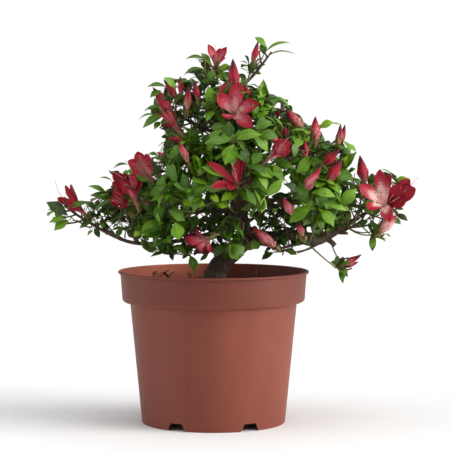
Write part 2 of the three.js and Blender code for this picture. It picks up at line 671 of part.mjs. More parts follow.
function backFlower(mass) {
  const [turn, rise] = [radians(BACK_FLOWER.turn), radians(BACK_FLOWER.rise)];
  const level = new THREE.Vector3(Math.cos(turn), Math.sin(turn), 0);
  const out = level.multiplyScalar(Math.cos(rise)).addScaledVector(UP, Math.sin(rise));
  const to = mass.middle.clone().addScaledVector(out, edgeDistance(mass, out));
  const axis = out.lerp(UP, BACK_FLOWER.bend).normalize();
  const from = to.clone().addScaledVector(axis, -BACK_FLOWER.length);
  return { kind: BACK_FLOWER.kind, from, to };
}

function makeMass(mass) {
  const stem = tubeAlong(mass.stem, () => mass.stemRadius, STEM_SIDES, STEM_STEPS);
  const flowers = mass.flowers.map((flower) => [
    straightTwig(flower.foot, flower.from),
    ...flowerShapes(flower).map(solidFrom),
  ]);
  const twigs = Array.from({ length: TWIGS }, (_, i) => growTwig(mass, i)).flat();
  const crest = {
    foot: mass.stem.getPointAt(0.5),
    tip: mass.stem.getPointAt(1),
    direction: mass.stem.getTangentAt(1),
    draw: stream(mass.seed),
    solid: stem,
  };
  const wood = [stem];
  const leaves = [];
  for (const twig of [crest, ...twigs]) {
    const others = [crest, ...twigs].filter((other) => other !== twig).map(({ solid }) => solid);
    const own = growLeaves(mass, twig, [...others, ...flowers.flat(), ...leaves]);
    if (own.length < FEWEST_LEAVES) continue;
    wood.push(twig.solid);
    leaves.push(...own);
  }
  return join([...wood, ...flowers.flat(), ...leaves]);
}

function stemInto(mass, limb) {
  const tip = limb.curve.getPointAt(1);
  const ahead = limb.curve.getTangentAt(1);
  const foot = tip.clone().addScaledVector(ahead, GAP);
  const inward = mass.middle.clone().sub(foot).normalize().lerp(UP, STEM_LIFT).normalize();
  const end = mass.middle.clone().addScaledVector(inward, STEM_REACH * edgeDistance(mass, inward));
  const bend = foot.clone().addScaledVector(ahead, foot.distanceTo(end) / 2);
  mass.stem = new THREE.QuadraticBezierCurve3(foot, bend, end);
  mass.stemRadius = limb.radiusAt(1, tip, UP);
}

// The plan of the whole shrub, then each piece in turn

const masses = Object.entries(MASSES).map(([name, { middle, reach }], i) => {
  const size = Math.cbrt(reach[0] * reach[1] * reach[2]);
  const small = Math.min(1, size / FULL_LEAF_SIZE);
  const leaf = { ...LEAF, length: small * LEAF.length, width: small * LEAF.width };
  return { name, seed: i + 1, middle: vector(middle), reach: vector(reach), size, leaf, flowers: [] };
});
const massNamed = Object.fromEntries(masses.map((mass) => [mass.name, mass]));

const limbs = [trunkLimb()];
const limbNamed = { trunk: limbs[0] };
for (const plan of BOUGHS) {
  const limb = boughLimb(plan, limbNamed[plan.from], massNamed[plan.to]);
  limbNamed[plan.name] = limb;
  limbs.push(limb);
  stemInto(massNamed[plan.to], limb);
}
stemInto(massNamed.apex_left, limbNamed.trunk);

for (const { kind, from, to } of FLOWERS) {
  placeFlower({ kind, from: vector(from), to: vector(to) });
}
for (const mass of masses.filter(({ name }) => name.startsWith('back_'))) {
  placeFlower(backFlower(mass));
}

addPiece('pot', makePot(), 'pot');
addPiece('soil', makeSoil(), 'soil');

const wholeTrunk = limbSolid(limbNamed.trunk);
addPiece('trunk', wholeTrunk.trimByPlane([0, 0, 1], SOIL_LEVEL + GAP), 'bark');
for (const plan of BOUGHS) {
  const bough = limbSolid(limbNamed[plan.name]);
  const parent = limbSolid(limbNamed[plan.from], BOUGH_CLEARANCE);
  addPiece(plan.name, largestBody(bough.subtract(parent)), 'bark');
}
for (const mass of masses) {
  addPiece(mass.name, makeMass(mass), 'foliage');
}

export default shrub;
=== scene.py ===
import math

import bmesh
import bpy
import numpy as np
from mathutils import Matrix, Vector, noise


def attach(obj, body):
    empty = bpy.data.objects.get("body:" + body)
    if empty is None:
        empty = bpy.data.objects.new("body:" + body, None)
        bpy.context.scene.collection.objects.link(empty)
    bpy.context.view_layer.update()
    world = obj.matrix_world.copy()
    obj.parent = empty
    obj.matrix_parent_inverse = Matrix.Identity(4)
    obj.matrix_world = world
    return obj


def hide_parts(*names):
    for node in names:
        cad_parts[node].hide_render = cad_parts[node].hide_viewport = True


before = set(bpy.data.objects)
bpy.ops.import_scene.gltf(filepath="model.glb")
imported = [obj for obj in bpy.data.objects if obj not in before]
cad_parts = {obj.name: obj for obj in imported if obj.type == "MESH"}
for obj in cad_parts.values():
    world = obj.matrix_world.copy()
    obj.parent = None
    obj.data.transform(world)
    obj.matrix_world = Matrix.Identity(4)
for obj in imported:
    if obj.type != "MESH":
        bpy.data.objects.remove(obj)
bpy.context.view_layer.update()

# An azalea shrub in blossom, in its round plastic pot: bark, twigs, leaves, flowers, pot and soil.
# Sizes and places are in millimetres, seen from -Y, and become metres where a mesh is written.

MM = 0.001
UP = Vector((0, 0, 1))
TURN = 2 * math.pi
GOLDEN_ANGLE = math.pi * (3 - math.sqrt(5))

# Pot
POT_HEIGHT = 191
LIP_RADIUS = 120
LIP_HEIGHT = 3
COLLAR_TOP_RADIUS = 117.4
COLLAR_FOOT_RADIUS = 115
COLLAR_HEIGHT = 34
SHOULDER_DROP = 6
BODY_TOP_RADIUS = 105
FOOT_RADIUS = 90.5
WALL = 2.1
FLOOR_UNDERSIDE = 11
FLOOR_THICKNESS = 2.2
PAD_RADIUS = 38
PAD_SLOPE = 6
PAD_INSET = 1.3
NOTCHES = 6
NOTCH_HEIGHT = 9.5
NOTCH_FOOT_WIDTH = 26
NOTCH_TOP_WIDTH = 16
NOTCH_DEPTH = 14
POT_TURNS = 144

# Soil, and the bits of bark and the pale grains that lie on it
SOIL_LEVEL = 174
SOIL_EDGE_DROP = 2.5
SOIL_LEVEL_RADIUS = 62
SOIL_EDGE_RADIUS = 112
SOIL_RELIEF = 2.2
SOIL_RINGS = 30
SOIL_TURNS = 120
SOIL_BITS = 620
SOIL_BITS_RADIUS = 108
SOIL_BITS_SEED = 11
BIT_LENGTH = (1.2, 4)
GRAIN_LENGTH = (2, 3.4)
PALE_GRAINS = [
    (-70, 18), (-64, -6), (-55, 2), (-52, 10), (-33, 8), (-28, -14), (-22, 22), (-41, -20), (-17, -28),
]

# Trunk: centre line and radius
TRUNK_RISE = [
    ((0, 0, SOIL_LEVEL - 6), 19),
    ((1, 0, SOIL_LEVEL + 3), 14.6),
    ((4, 0, 189), 13),
    ((11, 0, 202), 12.4),
    ((26, 0, 216), 12.8),
    ((37, 1, 230), 11.2),
    ((38, 4, 246), 9),
    ((34, 5, 262), 8),
    ((22, 5, 300), 6.4),
    ((17, 0, 340), 5),
    ((12, -5, 375), 3.8),
    ((5, -4, 404), 2.8),
]
FLARE_RIBS = 3
FLARE_DEPTH = 0.16
FLARE_TOP = SOIL_LEVEL + 22
FLARE_TURN = 1

# Masses of foliage: the middle of each, and how far it reaches along x, y and z
MASSES = {
    "apex_left": ((-4, -5, 440), (31, 28, 30)),
    "apex_right": ((68, 8, 458), (29, 26, 25)),
    "crown_front": ((32, -52, 386), (38, 34, 40)),
    "crown_right": ((80, 5, 388), (33, 36, 33)),
    "upper_left": ((-52, -10, 390), (38, 36, 40)),
    "right_shoulder": ((138, 0, 343), (36, 38, 37)),
    "right_mid": ((125, -48, 286), (39, 38, 35)),
    "far_right": ((211, -10, 276), (36, 36, 49)),
    "left_shoulder": ((-74, -18, 318), (43, 38, 36)),
    "left_mid": ((-114, -8, 278), (38, 36, 31)),
    "far_left": ((-180, -4, 266), (30, 28, 28)),
    "centre_left": ((-27, -72, 308), (42, 38, 48)),
    "centre": ((36, -88, 316), (40, 36, 42)),
    "centre_right": ((86, -66, 343), (36, 34, 37)),
    "low_left": ((-46, -38, 236), (42, 36, 31)),
    "low_front": ((36, -50, 238), (27, 26, 27)),
    "under_right": ((82, -18, 219), (25, 20, 17)),
    "drop_right": ((163, -12, 195), (22, 20, 20)),
    "back_top": ((36, 60, 383), (38, 36, 38)),
    "back_left": ((-64, 76, 329), (44, 40, 42)),
    "back_right": ((114, 78, 329), (44, 40, 42)),
    "back_low_left": ((-85, 66, 258), (42, 36, 33)),
    "back_low_right": ((132, 60, 262), (42, 36, 31)),
    "back_centre": ((26, 108, 295), (46, 38, 46)),
}

# Boughs: the limb each leaves and how far along it, its mass, and its radii
BOUGHS = [
    ("right_bough", "trunk", 0.33, "far_right", (8.4, 2.6)),
    ("left_low_bough", "trunk", 0.37, "far_left", (3.4, 1.9)),
    ("under_bough", "right_bough", 0.6, "under_right", (2.2, 1.9)),
    ("drop_bough", "right_bough", 0.68, "drop_right", (2.2, 1.9)),
    ("back_low_right_bough", "right_bough", 0.3, "back_low_right", (3.2, 2)),
    ("left_mid_bough", "left_low_bough", 0.66, "left_mid", (2.2, 1.9)),
    ("low_left_bough", "left_low_bough", 0.24, "low_left", (2.2, 1.9)),
    ("low_front_bough", "trunk", 0.34, "low_front", (2.2, 1.9)),
    ("back_low_left_bough", "trunk", 0.42, "back_low_left", (3.4, 2)),
    ("right_mid_bough", "trunk", 0.46, "right_mid", (3.6, 2)),
    ("back_centre_bough", "trunk", 0.5, "back_centre", (3.4, 2)),
    ("centre_left_bough", "trunk", 0.52, "centre_left", (3.4, 2)),
    ("right_shoulder_bough", "trunk", 0.54, "right_shoulder", (3.8, 2)),
    ("left_shoulder_bough", "trunk", 0.58, "left_shoulder", (3.4, 2)),
    ("back_right_bough", "trunk", 0.6, "back_right", (3.4, 2)),
    ("centre_bough", "trunk", 0.63, "centre", (3.2, 2)),
    ("back_left_bough", "trunk", 0.65, "back_left", (3.2, 2)),
    ("centre_right_bough", "trunk", 0.68, "centre_right", (3, 2)),
    ("crown_right_bough", "trunk", 0.76, "crown_right", (2.8, 2)),
    ("upper_left_bough", "trunk", 0.8, "upper_left", (2.8, 2)),
    ("back_top_bough", "trunk", 0.83, "back_top", (2.6, 1.9)),
    ("crown_front_bough", "trunk", 0.87, "crown_front", (2.4, 1.9)),
    ("apex_right_bough", "trunk", 0.93, "apex_right", (2.2, 1.9)),
]
# The places that a bent bough passes
PAST = {
    "right_bough": [(66, -4, 234), (100, -8, 236), (126, -8, 231), (150, -8, 239)],
    "left_low_bough": [(2, -4, 239), (-42, -5, 229), (-98, -6, 226), (-132, -5, 238)],
}
# A swelling: how far along its bough, its radius and its length
KNOTS = {"right_bough": (0.56, 8.6, 0.16)}
BOUGH_LEAN = 0.35
BOUGH_SWEEP = 0.35
BOUGH_ENTRY = 0.86
LINE_SAMPLES = 24
STEM_REACH = 0.35
STEM_LIFT = 0.2
STEM_GAP = 0.3

# The growth rule of the twigs, as in the solids
TWIGS = 8
FIRST_TWIG = 0.7
TWIG_TILT = (50, 75)
TWIG_LIFT = 0.15
TWIG_REACH = (0.75, 0.6, 0.46, 0.34)
TWIG_RADIUS = 1.4
SEED_STEP = 1000
FLOWER_SEED = 7 * SEED_STEP
SPRAY_SEED = 9 * SEED_STEP
THICKET_SEED = 13 * SEED_STEP
POT_CLEARANCE = 4
GAP = 0.3
PROBES = 6
EDGE = 1.4
TWIG_BOW = 0.06
TWIG_WOOD = (0.4, 0.7, 1)  # where along a twig, and along a stem, a flower's stalk may leave
STEM_WOOD = (0.5, 0.8, 1)

# The same rule carried on to shoots, and to whorls of leaves as long as an azalea's
SHOOT_PLACES = (0.36, 0.64, 0.9)
SHOOT_TILT = (32, 62)
SHOOT_LIFT = 0.3
SHOOT_LENGTHS = (25, 18, 12)
SHOOT_VARIETY = (0.8, 1.15)
SHOOT_BOW = 0.12
LEADER_LENGTHS = (16, 9)
LEADER_LIFT = 0.2
WHORL = 5
WHORL_TILT = (42, 84)
LEAF_LENGTH = (21, 32)
LEAF_TOP_LIFT = 0.9
YOUNG_LEAF_LENGTH = (10, 16)
YOUNG_LEAF_TILT = 0.4
SIDE_LEAF_LENGTH = (14, 24)
SIDE_LEAF_TILT = (55, 85)
SIDE_LEAF_PLACES = (0.25, 0.8)
FLOWER_LEAF_LENGTH = (16, 27)
FLOWER_LEAF_TILT = (62, 100)
FLOWER_LEAF_TURN = 1.26
LEAF_SHAPE = 0.5  # width to length
SHOOT_LEAVES = 2
FLOWER_LEAVES = 5
LEAF_TRIES = 3
LEAF_SLACK = 12  # how far a leaf may lean into the next mass's space
LEAF_EDGE = (1.05, 1.5)
LEAF_PARTS = (0.35, 0.7, 1)  # where along a leaf its room is tested
LEAF_ROOM = 1.5  # how far a leaf stays from a limb
SHOOT_ROOM = 1

# Masses that are thin in the photograph: the share of the shoots that grow
THIN = {
    "apex_right": 0.1,
    "drop_right": 0.1,
    "far_left": 0.25,
    "under_right": 0.4,
    "far_right": 0.4,
    "apex_left": 0.4,
    "upper_left": 0.6,
    "low_left": 0.6,
    "left_mid": 0.8,
}

# Bare shoots and stubs that show in the photograph: the places each passes, and its radii
BARE_WOOD = [
    ([(34, 0, 252), (22, -20, 252), (39, -30, 251), (61, -34, 267), (105, -36, 281)], (2.6, 1.2)),
    ([(138, -9, 233), (146, -12, 229), (152, -14, 223.5)], (3.6, 3.2)),
    ([(150, -8, 239), (168, -14, 238.5)], (2, 1.6)),
    ([(133, -9, 226), (122, -12, 220), (105, -13, 214)], (1.5, 0.9)),
    ([(160, -9, 241), (178, -12, 249), (190, -14, 262), (188, -15, 274)], (1.8, 1)),
    ([(172, -10, 246), (196, -12, 250), (202, -14, 263)], (1.6, 0.9)),
    ([(-115, -6, 232), (-128, -9, 239), (-138, -10, 251), (-124, -12, 269)], (1.5, 0.9)),
    ([(24, 10, 296), (60, 26, 306), (98, 32, 316), (122, 34, 330)], (2.4, 1.4)),
    ([(17, 0, 335), (-8, -14, 352), (-20, -18, 380)], (2, 1.2)),
    ([(14, -4, 360), (28, -18, 385), (30, -20, 410)], (1.8, 1)),
    ([(12, -4, 372), (-9, -18, 382), (-5, -20, 397), (-2, -20, 414)], (1.5, 1)),
    ([(17, 0, 338), (-12, -10, 346), (-29, -16, 356), (-26, -18, 374), (-29, -20, 384)], (1.7, 0.9)),
    ([(-26, -18, 374), (-8, -16, 364), (9, -6, 350)], (1.1, 1.3)),
]

# Styles that reach out of their flowers: depth and path
STYLES = [
    (-14, [(68, 205), (62, 197), (58, 191), (55.6, 182.3)]),
    (-32, [(403, 192), (411.6, 184.8), (417.9, 177.7)]),
    (-46, [(126, 180), (117, 174), (109, 170.5)]),
    (-58, [(138, 166), (131, 163), (125.5, 161)]),
]

# Flowers: the kind, where each leaves its stalk, the middle of its mouth or a bud's tip, its dress, and
# for the open ones where the camera sees the tip of each petal, how far behind the mouth that is, and
# half the petal's width
FLOWERS = [
    ("open", (-159, -8, 261), (-172, -10, 272), "red", [
        (65.5, 185.5, -9, 7), (71, 184.5, 8, 7), (57.5, 198, -9, 7), (69, 208, -12, 6), (64, 200, 10, 6),
    ]),
    ("open", (-72, -36, 301), (-84, -56, 318), "blush", [
        (137.5, 151.5, -4, 8.2), (128, 161, -4, 7.6), (132, 174, -10, 7), (152, 166, 4, 8),
        (147, 154, 8, 7.6),
    ]),
    ("open", (-94, -24, 291), (-103, -44, 298), "red", [
        (112.5, 173, 0, 7.2), (112, 183, -4, 6.6), (123, 190, -8, 6), (131, 181, 4, 7), (124, 174, 6, 6.6),
    ]),
    ("open", (-93, -46, 273), (-99, -58, 291), "dusky", [
        (119, 179, -2, 7.6), (134, 172, 0, 6.8), (143.5, 182, -2, 7.2), (127, 187, -8, 6.6),
        (137.5, 186, -8, 6.6),
    ]),
    ("open", (-100, -30, 272), (-112, -42, 277), "red", [
        (113.5, 189.5, 0, 6.6), (110, 199, -4, 6.6), (121, 207, -8, 6.4), (129, 198, 2, 6),
        (122, 190, 6, 6),
    ]),
    ("open", (30, -98, 300), (27, -112, 309), "vivid", [
        (235.5, 144.5, 2, 5.6), (246, 155.5, 6, 4.4), (207, 161.5, -4, 5.2), (211.5, 188, -8, 5.6),
        (229, 190, -10, 6),
    ]),
    ("open", (26, -58, 384), (22, -76, 392), "blush", [
        (240, 82.5, 0, 10), (259, 103.5, -6, 9.4), (252.5, 127, -12, 8.4), (227.5, 119, -16, 9),
        (218.5, 94, -2, 8.4),
    ]),
    ("open", (214, -30, 272), (206, -50, 283), "pale", [
        (380, 169.5, 0, 7.6), (390.5, 173, 2, 6.8), (359, 185.5, -6, 8.4), (368.5, 210, -12, 8.4),
        (390.5, 221.5, -10, 8),
    ]),
    ("open", (212, -8, 272), (219, -30, 279), "red", [
        (409.5, 179, -2, 8.6), (415.5, 188.5, -4, 9.8), (406, 202, -6, 8.6), (396, 203, 2, 7.6),
        (399, 184, -8, 8.6),
    ]),
    # This low flower's dusky dress is partly its own colour and partly painted shade.
    ("open", (-1, -66, 238), (-13, -60, 231), "dusky", [
        (184.5, 238, -8, 8.6), (197, 228, 6, 8), (202, 253, -12, 8.8), (217.5, 252, -7, 8.4),
        (190, 247, 10, 8),
    ]),
    ("open", (60, -86, 327), (76, -96, 341), "blush", [
        (289.5, 141, -2, 8), (284, 139.5, 6, 8), (290, 149, 4, 8), (275, 146, -7, 8.6), (281, 156, -6, 8),
    ]),
    ("open", (-37, -38, 361), (-51, -42, 380), "dusky", [
        (156.5, 113, -6, 6), (160, 128, -10, 6.5), (165, 109, 4, 6), (171, 127, -14, 5), (169, 112, 12, 6),
    ]),
    ("slim", (-37, -46, 354), (-55, -50, 359), "red", None),
    ("slim", (-58, -46, 335), (-70, -50, 341), "dusky", None),
    ("bud", (79, -10, 383), (82, -12, 393), "red", None),
    ("slim", (-29, -98, 328), (-41, -102, 355), "dusky", None),
    ("bud", (206, -26, 240), (228, -34, 263), "white", None),
    ("slim", (162, -18, 199), (185, -24, 213), "tipped", None),
    ("slim", (164, -14, 196), (182, -12, 203), "tipped", None),
    ("bud", (-51, -28, 386), (-75, -34, 421), "dark", None),
    ("slim", (-32, -36, 391), (-30, -38, 423), "tipped", None),
    ("slim", (-19, -32, 403), (-23, -34, 430), "dark", None),
    ("slim", (-40, -22, 411), (-41, -24, 435), "dark", None),
    ("slim", (-44, -18, 405), (-62, -22, 431), "dark", None),
    ("open", (4, -8, 443), (4, -16, 452), "blush", [
        (208, 44.5, -2, 5.2), (226.8, 47, 2, 5.6), (220.5, 48.5, 6, 4.6), (213, 55, -6, 4.2),
        (225.5, 58, -4, 4.6),
    ]),
    ("slim", (49, -6, 452), (56, -8, 479), "dark", None),
    ("bud", (27, -36, 416), (24, -40, 456), "dark", None),
    ("slim", (7, -58, 411), (18, -62, 429), "dark", None),
    ("slim", (45, -58, 407), (37, -62, 425), "dark", None),
    ("bud", (111, -30, 368), (89, -34, 394), "dusky", None),
    ("bud", (126, -32, 350), (126, -34, 385), "dusky", None),
    ("slim", (156, -20, 348), (158, -22, 376), "tipped", None),
    ("slim", (158, -16, 348), (164, -16, 375), "tipped", None),
    ("bud", (134, -44, 324), (156, -50, 345), "dark", None),
    ("bud", (140, -66, 304), (157, -70, 334), "dark", None),
    ("bud", (113, -52, 334), (112, -56, 356), "red", None),
    ("bud", (108, -78, 290), (131, -82, 324), "rosy", None),
    ("bud", (188, -30, 302), (181, -34, 337), "dark", None),
    ("bud", (98, -76, 264), (84, -82, 287), "rosy", None),
    ("bud", (110, -56, 237), (104, -60, 255), "dusky", None),
    ("bud", (77, -48, 223), (47, -56, 249), "rosy", None),
    ("bud", (79, -82, 350), (67, -86, 364), "dusky", None),
    ("bud", (88, -50, 358), (88, -54, 374), "dark", None),
]
# Each mass at the back has these: the turn from +X and the rise in degrees, the kind and the dress
BACK_FLOWERS = [(80, 20, "open", "blush"), (35, 40, "bud", "dark"), (125, 30, "bud", "dusky")]
BACK_FLOWER_BEND = 0.3
BACK_FLOWER_LENGTH = 30
BACK_FLOWER_ROOM = 26

# The tints along a petal or bud, from its foot to its tip: 0 to 9 run from white to wine, r is a clear
# red, s a clear rose, b beige and d dusky
DRESSES = {
    "red": "23445666667777",
    "blush": "11111123445666",
    "pale": "00000000245666",
    "dusky": "bbbddd34455789",
    "dark": "bdd45566788999",
    "tipped": "bbbbbdd5789999",
    "rosy": "bbddd333445678",
    "vivid": "33ssrrrrrrrrrr",
    "white": "bbbb1112223456",
}

# Sprays as the camera sees them: mass, depth, the path of the shoot, and each leaf from its root to its
# tip, with its width in millimetres, its tint and, where it isn't as for the rest, how far it faces
# A leaf's tint is partly its own green and partly painted light and painted shade, bright where lit and deep
# where shaded.
SPRAYS = [
    ("far_left", -14, [(88, 228), (81, 223), (72, 219), (70, 216)], [
        (68, 216, 46, 202, 16, "deep"), (69, 217, 48.5, 223, 9, "bright"),
        (68.5, 220, 54, 231, 13, "bright"), (90, 202, 66, 209, 9, "mid"),
        (93.5, 219.5, 79.5, 228.5, 9, "deep"), (93, 231, 87.5, 235.5, 6, "bright"),
        (94, 228, 99.5, 238, 8, "deep"), (84, 223.5, 67.5, 223.5, 4, "mid", 0.2),
    ]),
    ("far_left", 2, [(115, 235), (106, 223.5), (101, 216), (96, 207)], [
        (104, 221, 106.5, 235.5, 9, "deep"), (107, 194.5, 87.5, 186, 8, "bright"),
        (98, 222, 96, 229, 8, "dark"), (114.5, 184.5, 98.7, 177.8, 7, "bright", 0.3),
        (112, 200.5, 89.5, 195.5, 12, "mid"), (113, 197, 104.5, 216.5, 18, "mid"),
        (122, 207.5, 106.5, 214.5, 10, "mid"), (131, 209, 121, 211, 7, "dark"),
        (119, 212, 112, 225, 11, "dark"), (84, 202, 76, 206, 7, "mid"), (96, 210, 86, 201, 9, "mid"),
    ]),
    ("left_mid", -40, [(137, 204), (150, 192), (156, 184)], [
        (153, 181, 137, 179, 10, "bright"), (157, 183, 156, 201, 14, "bright"),
        (161, 220, 141, 237, 19, "bright"), (152, 176, 163, 165, 12, "dark"),
        (158, 182, 170, 186, 12, "mid"), (137, 207, 122, 214, 9, "deep"), (142, 207, 156, 213, 11, "dark"),
        (134, 200, 118, 196, 9, "dark"), (119, 226, 122, 232, 7, "dark"), (132, 230, 128, 237, 8, "deep"),
        (140, 231, 134, 237, 8, "fresh"), (129, 164.5, 112.5, 169.5, 8, "mid", 0.35),
    ]),
    ("upper_left", -30, [(176, 120), (170, 113), (166, 108)], [
        (168, 88.5, 147, 87.2, 11, "mid", 0.4), (161, 90.5, 150, 98, 9, "mid"),
        (176, 88, 163.7, 77.8, 12, "bright"), (177, 85.5, 201, 84.4, 9, "mid", 0.2),
        (166, 108, 143.3, 112, 9, "mid", 0.3), (155, 109.6, 146, 109, 5, "bright"),
        (159, 103.5, 156, 100, 5, "bright"), (157, 115.3, 138, 120.5, 8, "bright", 0.3),
        (166, 114.5, 142.5, 128.5, 12, "mid"), (160.5, 121.7, 154.2, 129.7, 8, "bright"),
        (168, 137, 161, 137, 6, "deep"), (177.5, 142, 157, 148, 8, "deep", 0.15),
        (175, 147.5, 162.6, 156, 12, "dark"), (158, 155, 148, 154.4, 6, "bright"),
        (171, 101, 160.5, 100, 6, "deep"),
    ]),
    ("apex_left", -16, [(213, 88), (212, 78), (214, 70)], [
        (206, 60, 185, 59.5, 10, "mid", 0.35), (211, 65, 201, 53, 9, "bright"),
        (203, 69, 183, 77, 13, "mid", 0.35), (226, 66, 237, 77, 10, "dark"), (222, 72, 231, 81, 12, "mid"),
        (229, 76, 240, 83, 9, "dark"), (217, 74, 204, 84, 16, "dark"), (218, 69, 232, 67, 11, "bright"),
        (206, 71, 197, 73, 10, "dark"), (216, 76, 228, 79, 12, "bright"), (214, 70, 209, 82, 12, "mid"),
        (221, 80, 236, 90, 9, "mid"),
    ]),
    ("apex_right", -2, [(246.6, 84), (249, 75), (251, 69)], [
        (249, 64, 244.3, 55.3, 8, "deep"), (247.5, 64, 238.6, 62.4, 5, "deep", 0.2),
        (250, 75, 251, 62, 7, "dark"), (247, 70, 240.6, 64.4, 5, "bright", 0.3),
        (247, 72, 239.2, 68.7, 5, "deep", 0.2), (252, 74, 255, 63, 7, "mid"), (247, 80, 238, 74, 8, "deep"),
        (247, 79, 240, 81.5, 6, "mid"), (254, 73, 261.5, 74.2, 6, "dark"), (255, 70, 266, 64.4, 6, "dark"),
        (256, 62.7, 261.5, 58.5, 4, "deep", 0.3),
    ]),
    ("apex_right", 8, [(253, 72), (258, 64), (263.3, 56)], [
        (266.4, 47.5, 254.4, 37.2, 9, "bright"), (264, 54.7, 261.5, 42, 10, "mid"),
        (264, 54, 292, 43.2, 10, "bright", 0.3), (263.5, 59.5, 296.5, 54.7, 10, "bright", 0.12),
    ]),
    ("crown_right", 10, [(262, 112), (263, 104), (264, 99)], [
        (263, 100, 263.5, 79, 10, "bright"), (266.4, 99, 276.5, 96, 4, "bright", 0.3),
        (261, 102, 273.3, 108.6, 10, "mid"), (267, 100.5, 288.3, 103.8, 9, "mid", 0.4),
        (262, 108, 252, 103, 10, "dark"), (262, 112, 276, 122, 13, "dark"),
        (259, 88.3, 247.5, 85.4, 5, "deep", 0.2), (276.5, 109, 271.6, 112.5, 6, "bright"),
    ]),
    ("right_shoulder", -26, [(322, 150), (330, 158), (338, 164)], [
        (346, 169, 357, 152, 13, "bright"), (333, 170, 353, 176, 11, "bright"),
        (311, 154, 331, 146, 12, "mid"), (319, 159, 332, 159, 9, "bright"),
        (313, 160, 313, 172, 15, "bright"), (298, 134, 276, 129, 11, "mid"), (340, 147, 352, 156, 9, "mid"),
        (356, 152, 346, 145, 8, "bright"),
    ]),
    ("right_shoulder", -14, [(318, 146), (317, 137), (318, 129)], [
        (319, 127.5, 334, 122.5, 13, "fresh"), (330, 123.5, 341, 125, 3, "bright"),
    ]),
    ("right_mid", -84, [(300, 200), (308, 198), (316, 203)], [
        (311, 193, 336, 197, 14, "bright"), (312, 206, 289, 223, 19, "bright"),
        (310, 196, 312, 211, 13, "bright"), (320, 209, 334, 227, 14, "bright"),
        (321, 202, 347, 211, 12, "bright"), (300, 194, 283, 184, 12, "deep"),
        (274, 165, 296, 169, 10, "mid"), (271, 169, 285, 181, 14, "mid"), (307, 194, 292, 200, 12, "dark"),
    ]),
    ("far_right", -16, [(350, 229), (357, 232), (368, 232.6), (376, 229.5)], [
        (372, 233, 372.5, 251.5, 9, "deep"), (375, 236, 371, 250, 8, "bright"),
        (376, 232, 389, 228.5, 8, "deep"), (367, 220, 360, 226, 9, "dark"),
        (372, 228, 370, 219.5, 9, "dark"), (378, 238, 386, 242.5, 4, "bright"),
        (385, 234, 391, 237, 4, "bright"), (388, 228, 376, 235.5, 6, "bright"),
        (394, 205.5, 404, 206, 6, "dark"), (394, 209, 404, 209.5, 6, "deep"),
        (395, 214, 408, 221, 9, "deep"), (394, 186, 409, 178, 14, "fresh"),
    ]),
    ("far_right", -8, [(347.5, 227), (351, 223), (357, 212.5), (364, 202)], [
        (352, 198, 340, 202, 9, "deep"), (366, 196, 352, 197, 9, "deep"), (345, 197, 336, 198, 8, "dark"),
        (362, 204, 373, 215, 14, "mid"), (349, 186, 358, 192, 8, "bright"), (352, 178, 362, 187, 9, "mid"),
        (348, 173, 356, 169, 8, "bright"), (355, 178, 339, 183, 9, "bright"),
    ]),
    ("far_right", -14, [(347, 227), (350, 207), (348, 195), (349, 189)], []),
    ("far_right", -16, [(348, 227), (353.6, 221.4), (359, 214), (361.6, 211)], []),
    ("far_right", -12, [(349, 227), (358, 225), (367, 219.6), (374, 211.6)], []),
    ("far_right", -12, [(367, 219.6), (377, 216), (384, 212.5)], []),
    ("far_right", -18, [(350, 229.5), (360.7, 234.4), (369.6, 235.3), (376, 233)], []),
    ("drop_right", -16, [(311.6, 246.9), (322, 256.5), (334.4, 267)], [
        (337, 266, 330, 262, 8, "mid"), (338, 265, 335.5, 256.5, 8, "dark"),
        (340, 266, 343.5, 256.5, 8, "dark"), (339, 268, 343, 284, 7, "mid"), (340, 267, 348, 278, 5, "mid"),
        (340, 266, 351, 262, 6, "bright"),
    ]),
    ("under_right", -14, [(311, 247), (298, 251.5), (284, 251)], [
        (274, 252.5, 261.5, 260, 9, "dark"), (283, 250, 297.4, 254.5, 10, "dark"),
        (284, 252, 275.5, 250, 7, "dark"), (298, 238, 290.5, 245.5, 9, "deep"),
        (304, 235, 309, 246.5, 11, "deep"), (285, 241, 277, 245, 8, "dark"),
    ]),
    ("low_front", -66, [(228, 240), (232, 243), (234, 246)], [
        (229, 244, 238, 260, 17, "bright"), (233, 244, 244, 256, 14, "mid"),
        (228, 246, 226, 260, 11, "dark"), (224, 244, 214, 258, 12, "deep"),
    ]),
    ("low_left", -52, [(193, 246), (191, 252), (190, 256)], [
        (190, 255, 195, 271, 12, "mid"), (190, 254, 182, 259, 6, "deep"), (196, 254, 207, 252, 6, "deep"),
        (212, 250, 203, 256, 8, "deep"), (208, 255, 200, 261, 6, "dark"), (199, 248, 194, 256, 6, "deep"),
        (170, 252, 173, 261, 6, "deep"), (186, 252, 172, 246, 10, "dark"), (168, 250, 158, 245, 9, "deep"),
        (166, 252, 150, 257, 6, "deep"), (192, 252, 186, 244, 9, "dark"),
    ]),
    ("centre_left", -100, [(196, 212), (203, 207), (212, 202)], [
        (194, 205, 183, 201, 13, "fresh"), (195, 204, 205, 205, 12, "fresh"),
        (218, 204, 227, 207, 11, "fresh"), (219, 202, 210, 196, 10, "fresh"),
        (221, 201, 233, 193, 11, "fresh"), (196, 206, 186, 192, 12, "mid"),
        (175, 222, 179, 240, 17, "bright"), (168, 211, 185, 221, 17, "mid"),
        (160, 192, 163, 176, 12, "mid"),
    ]),
    ("centre", -112, [(231, 140), (233, 142), (236, 142)], [
        (234, 144, 225, 165, 18, "bright"), (230, 141, 204, 143, 14, "mid"),
        (235, 140, 262, 135, 17, "bright"), (250, 131, 268, 153, 14, "bright"),
        (229, 138, 229, 121, 14, "dark"), (236, 141, 246, 152, 10, "mid"), (258, 135, 278, 137, 15, "mid"),
        (272, 122, 255, 129, 16, "mid"), (262, 152, 252, 165, 13, "mid"),
    ]),
]
FACING = 0.55  # how far a leaf turns its upper side from the sky to the camera
SPRAY_ROOT_DEPTH = (-4, 4)
SPRAY_TIP_DEPTH = (-12, 8)

